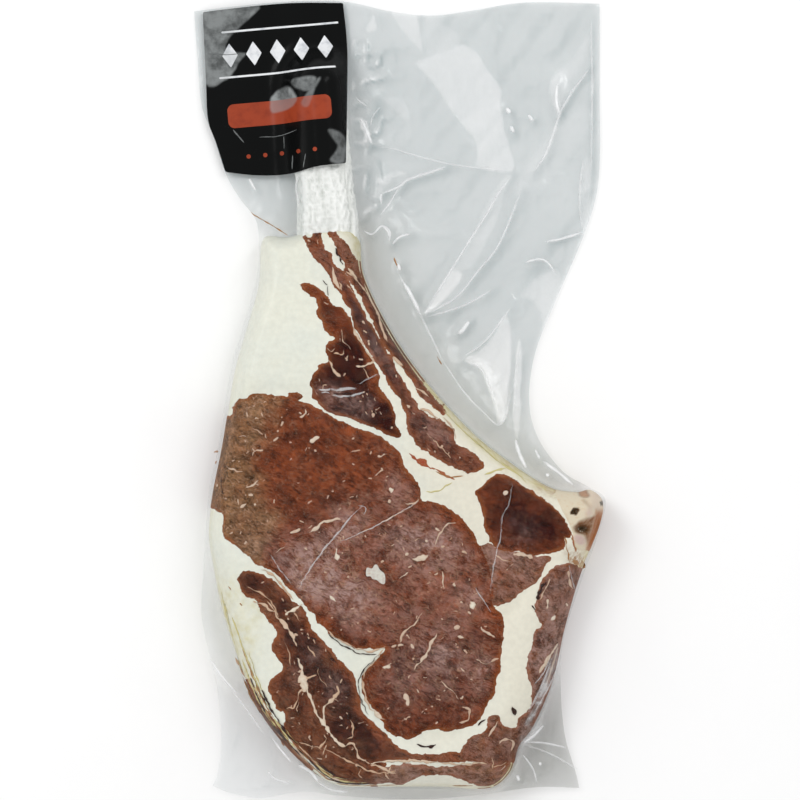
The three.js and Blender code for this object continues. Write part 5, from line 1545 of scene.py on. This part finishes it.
def make_creases(settings):
    """Sharp creases that stand on the film, painted white as highlights."""
    parts = []
    for k, (width, points) in enumerate(FILM_CREASES_AND_GLINTS + MEAT_CREASE_GLINTS):
        on_meat = k >= len(FILM_CREASES_AND_GLINTS)
        widened = 0.5 + 0.7 * width if on_meat else 0.8 + 1.1 * width
        corners, faces, fade = ribbon(points, widened, film_over, 0.3, 1000 + 4 * k,
                                      wander=0.3 if on_meat else 0.08)
        long = np.hypot(*np.ptp(np.array(points), axis=0)) > 25
        parts.append((corners, faces, fade * min(1, 0.35 + 0.5 * width) * (0.6 if long or on_meat else 1)))
    joined_piece("film_crease_glints", parts, glint_crease_material(settings))
    parts = [(*ribbon(points, width, film_over, 0.25, 1500 + 4 * k)[:2], 1.0)
             for k, (width, points) in enumerate(STAINED_FOLDS)]
    stained = thread_material("Stained fold", settings.stain, settings.stain)
    joined_piece("stained_folds", parts, stained)


def label_top(x, y):
    """Upper side of the label."""
    return skirt_top(x, y) + LABEL_GAP + LABEL


def label_glare(x, y):
    """Where the film over the label catches the light."""
    return inside_patches(x, y, [(strength, 0.6, outline) for strength, outline in BRIGHT_LABEL])


def make_label(settings):
    """The label: a thin sheet that follows the film, its corners rounded a little."""
    corners, faces, x, y = slab_over(label_distance, bounds_of(LABEL_LINE, 2), settings.label_step,
                                     label_top, lambda x, y: label_top(x, y) - LABEL)
    label = new_object("label_sheet", corners, faces, {"glare": np.tile(label_glare(x, y), 2)})
    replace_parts(finish(label, label_material(settings)), "label")
    parts = [(*ribbon(points, width, label_top, 0.2, 1700 + 4 * k, wander=0.08)[:2], 0.6)
             for k, (width, points) in enumerate(LABEL_CREASE_GLARE)]
    # The label's creases are drawn in the grey of the painted glare
    painted_crease_shading = thread_material("Label crease glare", settings.label, settings.label_glare)
    joined_piece("label_crease_glare", parts, painted_crease_shading)


def turned(points, centre, turn):
    """Points about the origin, turned and moved to a centre."""
    p = np.array(points, dtype=float)
    c, s = math.cos(turn), math.sin(turn)
    return np.column_stack([c * p[:, 0] - s * p[:, 1], s * p[:, 0] + c * p[:, 1]]) + centre


def bar(width, height, radius):
    """Outline of a bar with round corners: quarter circles about four corner centres."""
    turn = np.linspace(0, 2 * math.pi, 33)[:-1] + math.pi / 32
    return np.column_stack([(width / 2 - radius) * np.sign(np.cos(turn)) + radius * np.cos(turn),
                            (height / 2 - radius) * np.sign(np.sin(turn)) + radius * np.sin(turn)])


def print_piece(name, outlines, material):
    """Printed shapes: thin slabs that stand a little over the label."""
    parts = [(*patch(outline, 0.5, lambda x, y: label_top(x, y) + 0.1,
                     lambda x, y: label_top(x, y) - 0.15), 1.0) for outline in outlines]
    corners, faces, _ = join(parts)
    glare = label_glare(corners[:, 0], corners[:, 1])
    finish(new_object(name, corners, faces, {"glare": glare}), material)


def make_print(settings):
    """Plain print: an orange bar under a row of silver lozenges, pale rules and a row of dots."""
    tilt = math.radians(settings.print_tilt)
    row = np.linspace(-22, 22, 5)[:, None] * (math.cos(tilt), math.sin(tilt))
    lozenge = [(-3.6, 0), (0, -5.6), (3.6, 0), (0, 5.6)]
    lozenges = [turned(lozenge, np.array((-56.0, 160.0)) + step, tilt) for step in row]
    rules = [turned(bar(54, 0.9, 0.4), centre, tilt) for centre in ((-56, 150), (-55, 171))]
    dots = [turned(bar(2.0, 2.0, 1.0), np.array((-54.0, 113.0)) + 0.7 * step, tilt) for step in row]
    orange = ink_material(settings, "Orange ink", settings.orange, settings.orange_dull)
    print_piece("print_bar", [turned(bar(48, 11, 3), (-55, 132), tilt)] + dots, orange)
    silver = ink_material(settings, "Silver ink", settings.silver, settings.silver_dull)
    print_piece("print_silver", lozenges + rules, silver)


# The stage

def area_light(name, place, size, power):
    """A rectangular lamp turned towards the middle of the floor."""
    light = bpy.data.lights.new(name, "AREA")
    light.shape = "RECTANGLE"
    light.size, light.size_y = size
    light.energy = power
    lamp = bpy.data.objects.new(name, light)
    lamp.location = place
    lamp.rotation_euler = (-Vector(place)).to_track_quat("-Z", "Y").to_euler()
    bpy.context.scene.collection.objects.link(lamp)


def make_stage(settings):
    """Pale floor, a white surround with two soft lamps, and a camera that looks straight down."""
    scene = bpy.context.scene
    scene.view_settings.view_transform = "Standard"
    scene.view_settings.look = "None"
    world = bpy.data.worlds.new("Studio")
    world.use_nodes = True
    world.node_tree.nodes["Background"].inputs["Color"].default_value = (1, 1, 1, 1)
    world.node_tree.nodes["Background"].inputs["Strength"].default_value = settings.surround
    scene.world = world
    half, drop = settings.floor_size / 2, -0.2 * MM
    mesh = bpy.data.meshes.new("floor")
    mesh.from_pydata([(-half, -half, drop), (half, -half, drop), (half, half, drop), (-half, half, drop)],
                     [], [(0, 1, 2, 3)])
    floor = bpy.data.objects.new("floor", mesh)
    scene.collection.objects.link(floor)
    floor.data.materials.append(floor_material(settings))
    area_light("key", (-0.9, 0.7, 1.5), (0.7, 0.7), settings.key_power)
    area_light("fill", (0.9, 0.9, 1.7), (0.25, 1.2), settings.fill_power)
    lens = bpy.data.cameras.new("camera")
    lens.sensor_width = 36
    lens.lens = lens.sensor_width * settings.camera_height / settings.view_width
    lens.clip_end = 20
    camera = bpy.data.objects.new("camera", lens)
    camera.location = (0.0002, -0.0002, settings.camera_height)
    scene.collection.objects.link(camera)
    scene.camera = camera


# What a user may change

def linear(value):
    """The share of light of a screen value from 0 to 255: ((value / 255 + 0.055) / 1.055)^2.4."""
    return ((value / 255 + 0.055) / 1.055)**2.4


def tint(name, words, red, green, blue):
    """A colour property whose default is given in screen values."""
    return FloatVectorProperty(name=name, description=words, subtype="COLOR", min=0, max=1,
                               default=(linear(red), linear(green), linear(blue)))


class RibSteakSettings(bpy.types.PropertyGroup):
    """Sizes, colours and light of the rib steak."""
    lean_step: FloatProperty(name="Lean step", description="Cell size on the muscles, in millimetres",
                             default=0.6, min=0.3)
    fat_step: FloatProperty(name="Fat step", description="Cell size on the fat, in millimetres",
                            default=0.9, min=0.4)
    label_step: FloatProperty(name="Label step", description="Cell size on the label, in millimetres",
                              default=0.6, min=0.3)
    flecks: IntProperty(name="Flecks", description="Scattered flecks on the eye; others get a share of it",
                        default=130, min=1)
    film_across: IntProperty(name="Film cells across", description="Cells of the film from left to right",
                             default=186, min=20)
    film_along: IntProperty(name="Film cells along", description="Cells of the film from end to end",
                            default=266, min=20)
    film_veil: FloatProperty(name="Loose veil", description="How much loose film hides", subtype="FACTOR",
                             default=0.12, min=0, max=1)
    contact_veil: FloatProperty(name="Clinging veil", description="How much clinging film hides",
                                subtype="FACTOR", default=0.02, min=0, max=1)
    print_tilt: FloatProperty(name="Print tilt", description="Turn of the print on the label, in degrees",
                              default=5.0)
    surround: FloatProperty(name="Surround", description="Strength of the white surround", default=0.8, min=0)
    key_power: FloatProperty(name="Key lamp", description="Power of the main lamp", unit="POWER",
                             default=9, min=0)
    fill_power: FloatProperty(name="Fill lamp", description="Power of the narrow lamp", unit="POWER",
                              default=7, min=0)
    floor_size: FloatProperty(name="Floor size", description="Side of the floor", unit="LENGTH", default=8)
    camera_height: FloatProperty(name="Camera height", description="Height of the camera over the floor",
                                 unit="LENGTH", default=3)
    view_width: FloatProperty(name="View width", description="Width of floor that the camera sees",
                              unit="LENGTH", default=0.368)
    lean: tint("Lean", "Red brown of the muscles", 94, 46, 26)
    lean_bright: tint("Bright lean", "Brighter patches of the muscles", 114, 56, 30)
    lean_dark: tint("Dark lean", "Darkest muscles", 45, 11, 5)
    lean_rim: tint("Rim of the lean", "Orange brown edge of a muscle", 134, 76, 42)
    # The mauve haze is a painted reflection of the film on the lean
    haze: tint("Haze", "Mauve haze on the eye", 160, 130, 122)
    olive: tint("Olive bloom", "Olive bloom on the left of the eye", 134, 102, 72)
    olive_dark: tint("Dark olive bloom", "Darker patches in the bloom", 96, 72, 48)
    pale: tint("Pale threads", "Thin marbling", 182, 144, 118)
    seam_thin: tint("Thin seams", "Pinkish thin seams of fat", 186, 146, 114)
    fat: tint("Fat", "Cream of the fat", 222, 222, 208)
    fat_cool: tint("Cool fat", "Cooler patches of the fat", 218, 220, 209)
    fat_warm: tint("Warm fat", "Fat between the muscles", 223, 217, 200)
    fat_yellow: tint("Yellow fat", "Rim of the fat", 197, 186, 130)
    stain: tint("Brown stain", "Brown threads and stains", 158, 116, 74)
    blood: tint("Blood", "Traces of blood on the fat", 146, 34, 28)
    gap: tint("Gap", "Dark gaps between muscles", 52, 36, 26)
    bone: tint("Bone", "Cut bone", 212, 200, 177)
    bone_tan: tint("Tan bone", "Tan specks in the bone", 204, 178, 146)
    gristle: tint("Gristle", "Pinkish grey gristle", 200, 174, 166)
    ring: tint("Brown bone", "Brown bottom of the hollow", 126, 80, 46)
    rust: tint("Rust", "Rust coloured bank of the hollow", 158, 98, 58)
    hollow: tint("Hollow", "Deepest places of the backbone", 34, 27, 8)
    film: tint("Film", "Veil of the loose film", 24, 96, 102)
    film_green: tint("Film beside the meat", "Greener veil beside the meat", 46, 58, 26)
    film_white: tint("Film highlight", "Film that catches the light", 246, 247, 248)
    label: tint("Label black", "Ground of the label", 12, 13, 13)
    # Label glare is painted glare of the film over the label
    label_glare: tint("Label glare", "Where the film over the label is grey", 146, 150, 150)
    orange: tint("Orange", "Orange red ink", 152, 60, 32)
    orange_dull: tint("Dull orange", "Duller patches of the orange ink", 132, 49, 27)
    silver: tint("Silver", "Silver ink", 226, 228, 230)
    silver_dull: tint("Dull silver", "Duller patches of the silver ink", 176, 180, 186)
    guard: tint("Guard", "White cloth on the bone", 240, 241, 238)
    # Guard shade is painted shade in the creases of the cloth
    guard_shade: tint("Guard shade", "Creases of the cloth", 204, 207, 202)
    guard_speck: tint("Guard speck", "Grey specks on the cloth", 120, 118, 108)
    floor: tint("Floor", "Pale floor", 247, 247, 247)


class RIBSTEAK_OT_stage(bpy.types.Operator):
    """Make the floor, the lamps and the camera"""
    bl_idname = "ribsteak.stage"
    bl_label = "Stage"

    def execute(self, context):
        make_stage(context.scene.rib_steak)
        return {"FINISHED"}


class RIBSTEAK_OT_fat(bpy.types.Operator):
    """Make the fat body of the steak"""
    bl_idname = "ribsteak.fat"
    bl_label = "Fat"

    def execute(self, context):
        make_fat(context.scene.rib_steak)
        return {"FINISHED"}


class RIBSTEAK_OT_lean(bpy.types.Operator):
    """Make the muscles of the steak"""
    bl_idname = "ribsteak.lean"
    bl_label = "Lean"

    def execute(self, context):
        make_lean(context.scene.rib_steak)
        return {"FINISHED"}


class RIBSTEAK_OT_marbling(bpy.types.Operator):
    """Make the marbling, the seams, the gaps and the threads"""
    bl_idname = "ribsteak.marbling"
    bl_label = "Marbling"

    def execute(self, context):
        make_marbling(context.scene.rib_steak)
        return {"FINISHED"}


class RIBSTEAK_OT_bone_corner(bpy.types.Operator):
    """Make the sawn corner of the backbone"""
    bl_idname = "ribsteak.bone_corner"
    bl_label = "Bone corner"

    def execute(self, context):
        make_bone_corner(context.scene.rib_steak)
        return {"FINISHED"}


class RIBSTEAK_OT_guard(bpy.types.Operator):
    """Make the cloth guard on the rib bone"""
    bl_idname = "ribsteak.guard"
    bl_label = "Bone guard"

    def execute(self, context):
        make_guard(context.scene.rib_steak)
        return {"FINISHED"}


class RIBSTEAK_OT_film(bpy.types.Operator):
    """Make the two films of the bag"""
    bl_idname = "ribsteak.film"
    bl_label = "Film"

    def execute(self, context):
        make_film(context.scene.rib_steak)
        return {"FINISHED"}


class RIBSTEAK_OT_creases(bpy.types.Operator):
    """Make the sharp creases on the film, with their painted highlights"""
    bl_idname = "ribsteak.creases"
    bl_label = "Creases"

    def execute(self, context):
        make_creases(context.scene.rib_steak)
        return {"FINISHED"}


class RIBSTEAK_OT_label(bpy.types.Operator):
    """Make the black label"""
    bl_idname = "ribsteak.label"
    bl_label = "Label"

    def execute(self, context):
        make_label(context.scene.rib_steak)
        return {"FINISHED"}


class RIBSTEAK_OT_print(bpy.types.Operator):
    """Make the plain print on the label"""
    bl_idname = "ribsteak.print"
    bl_label = "Print"

    def execute(self, context):
        make_print(context.scene.rib_steak)
        return {"FINISHED"}


OPERATORS = (RIBSTEAK_OT_stage, RIBSTEAK_OT_fat, RIBSTEAK_OT_lean, RIBSTEAK_OT_marbling,
             RIBSTEAK_OT_bone_corner, RIBSTEAK_OT_guard, RIBSTEAK_OT_film, RIBSTEAK_OT_creases,
             RIBSTEAK_OT_label, RIBSTEAK_OT_print)


class RIBSTEAK_PT_pieces(bpy.types.Panel):
    """The pieces of the rib steak, its sizes and its colours"""
    bl_idname = "RIBSTEAK_PT_pieces"
    bl_label = "Rib steak"
    bl_space_type = "VIEW_3D"
    bl_region_type = "UI"
    bl_category = "Rib steak"

    def draw(self, context):
        for operator in OPERATORS:
            self.layout.operator(operator.bl_idname)
        for name in RibSteakSettings.__annotations__:
            self.layout.prop(context.scene.rib_steak, name)


CLASSES = (RibSteakSettings,) + OPERATORS + (RIBSTEAK_PT_pieces,)


def register():
    """Make the classes and the settings known."""
    for cls in CLASSES:
        bpy.utils.register_class(cls)
    bpy.types.Scene.rib_steak = PointerProperty(type=RibSteakSettings)


def unregister():
    """Take the settings and the classes away."""
    del bpy.types.Scene.rib_steak
    for cls in reversed(CLASSES):
        bpy.utils.unregister_class(cls)


def main():
    """Register the classes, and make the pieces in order."""
    register()
    bpy.ops.ribsteak.stage()
    bpy.ops.ribsteak.fat()
    bpy.ops.ribsteak.lean()
    bpy.ops.ribsteak.marbling()
    bpy.ops.ribsteak.bone_corner()
    bpy.ops.ribsteak.guard()
    bpy.ops.ribsteak.film()
    bpy.ops.ribsteak.creases()
    bpy.ops.ribsteak.label()
    bpy.ops.ribsteak.print()


if __name__ == "__main__":
    main()
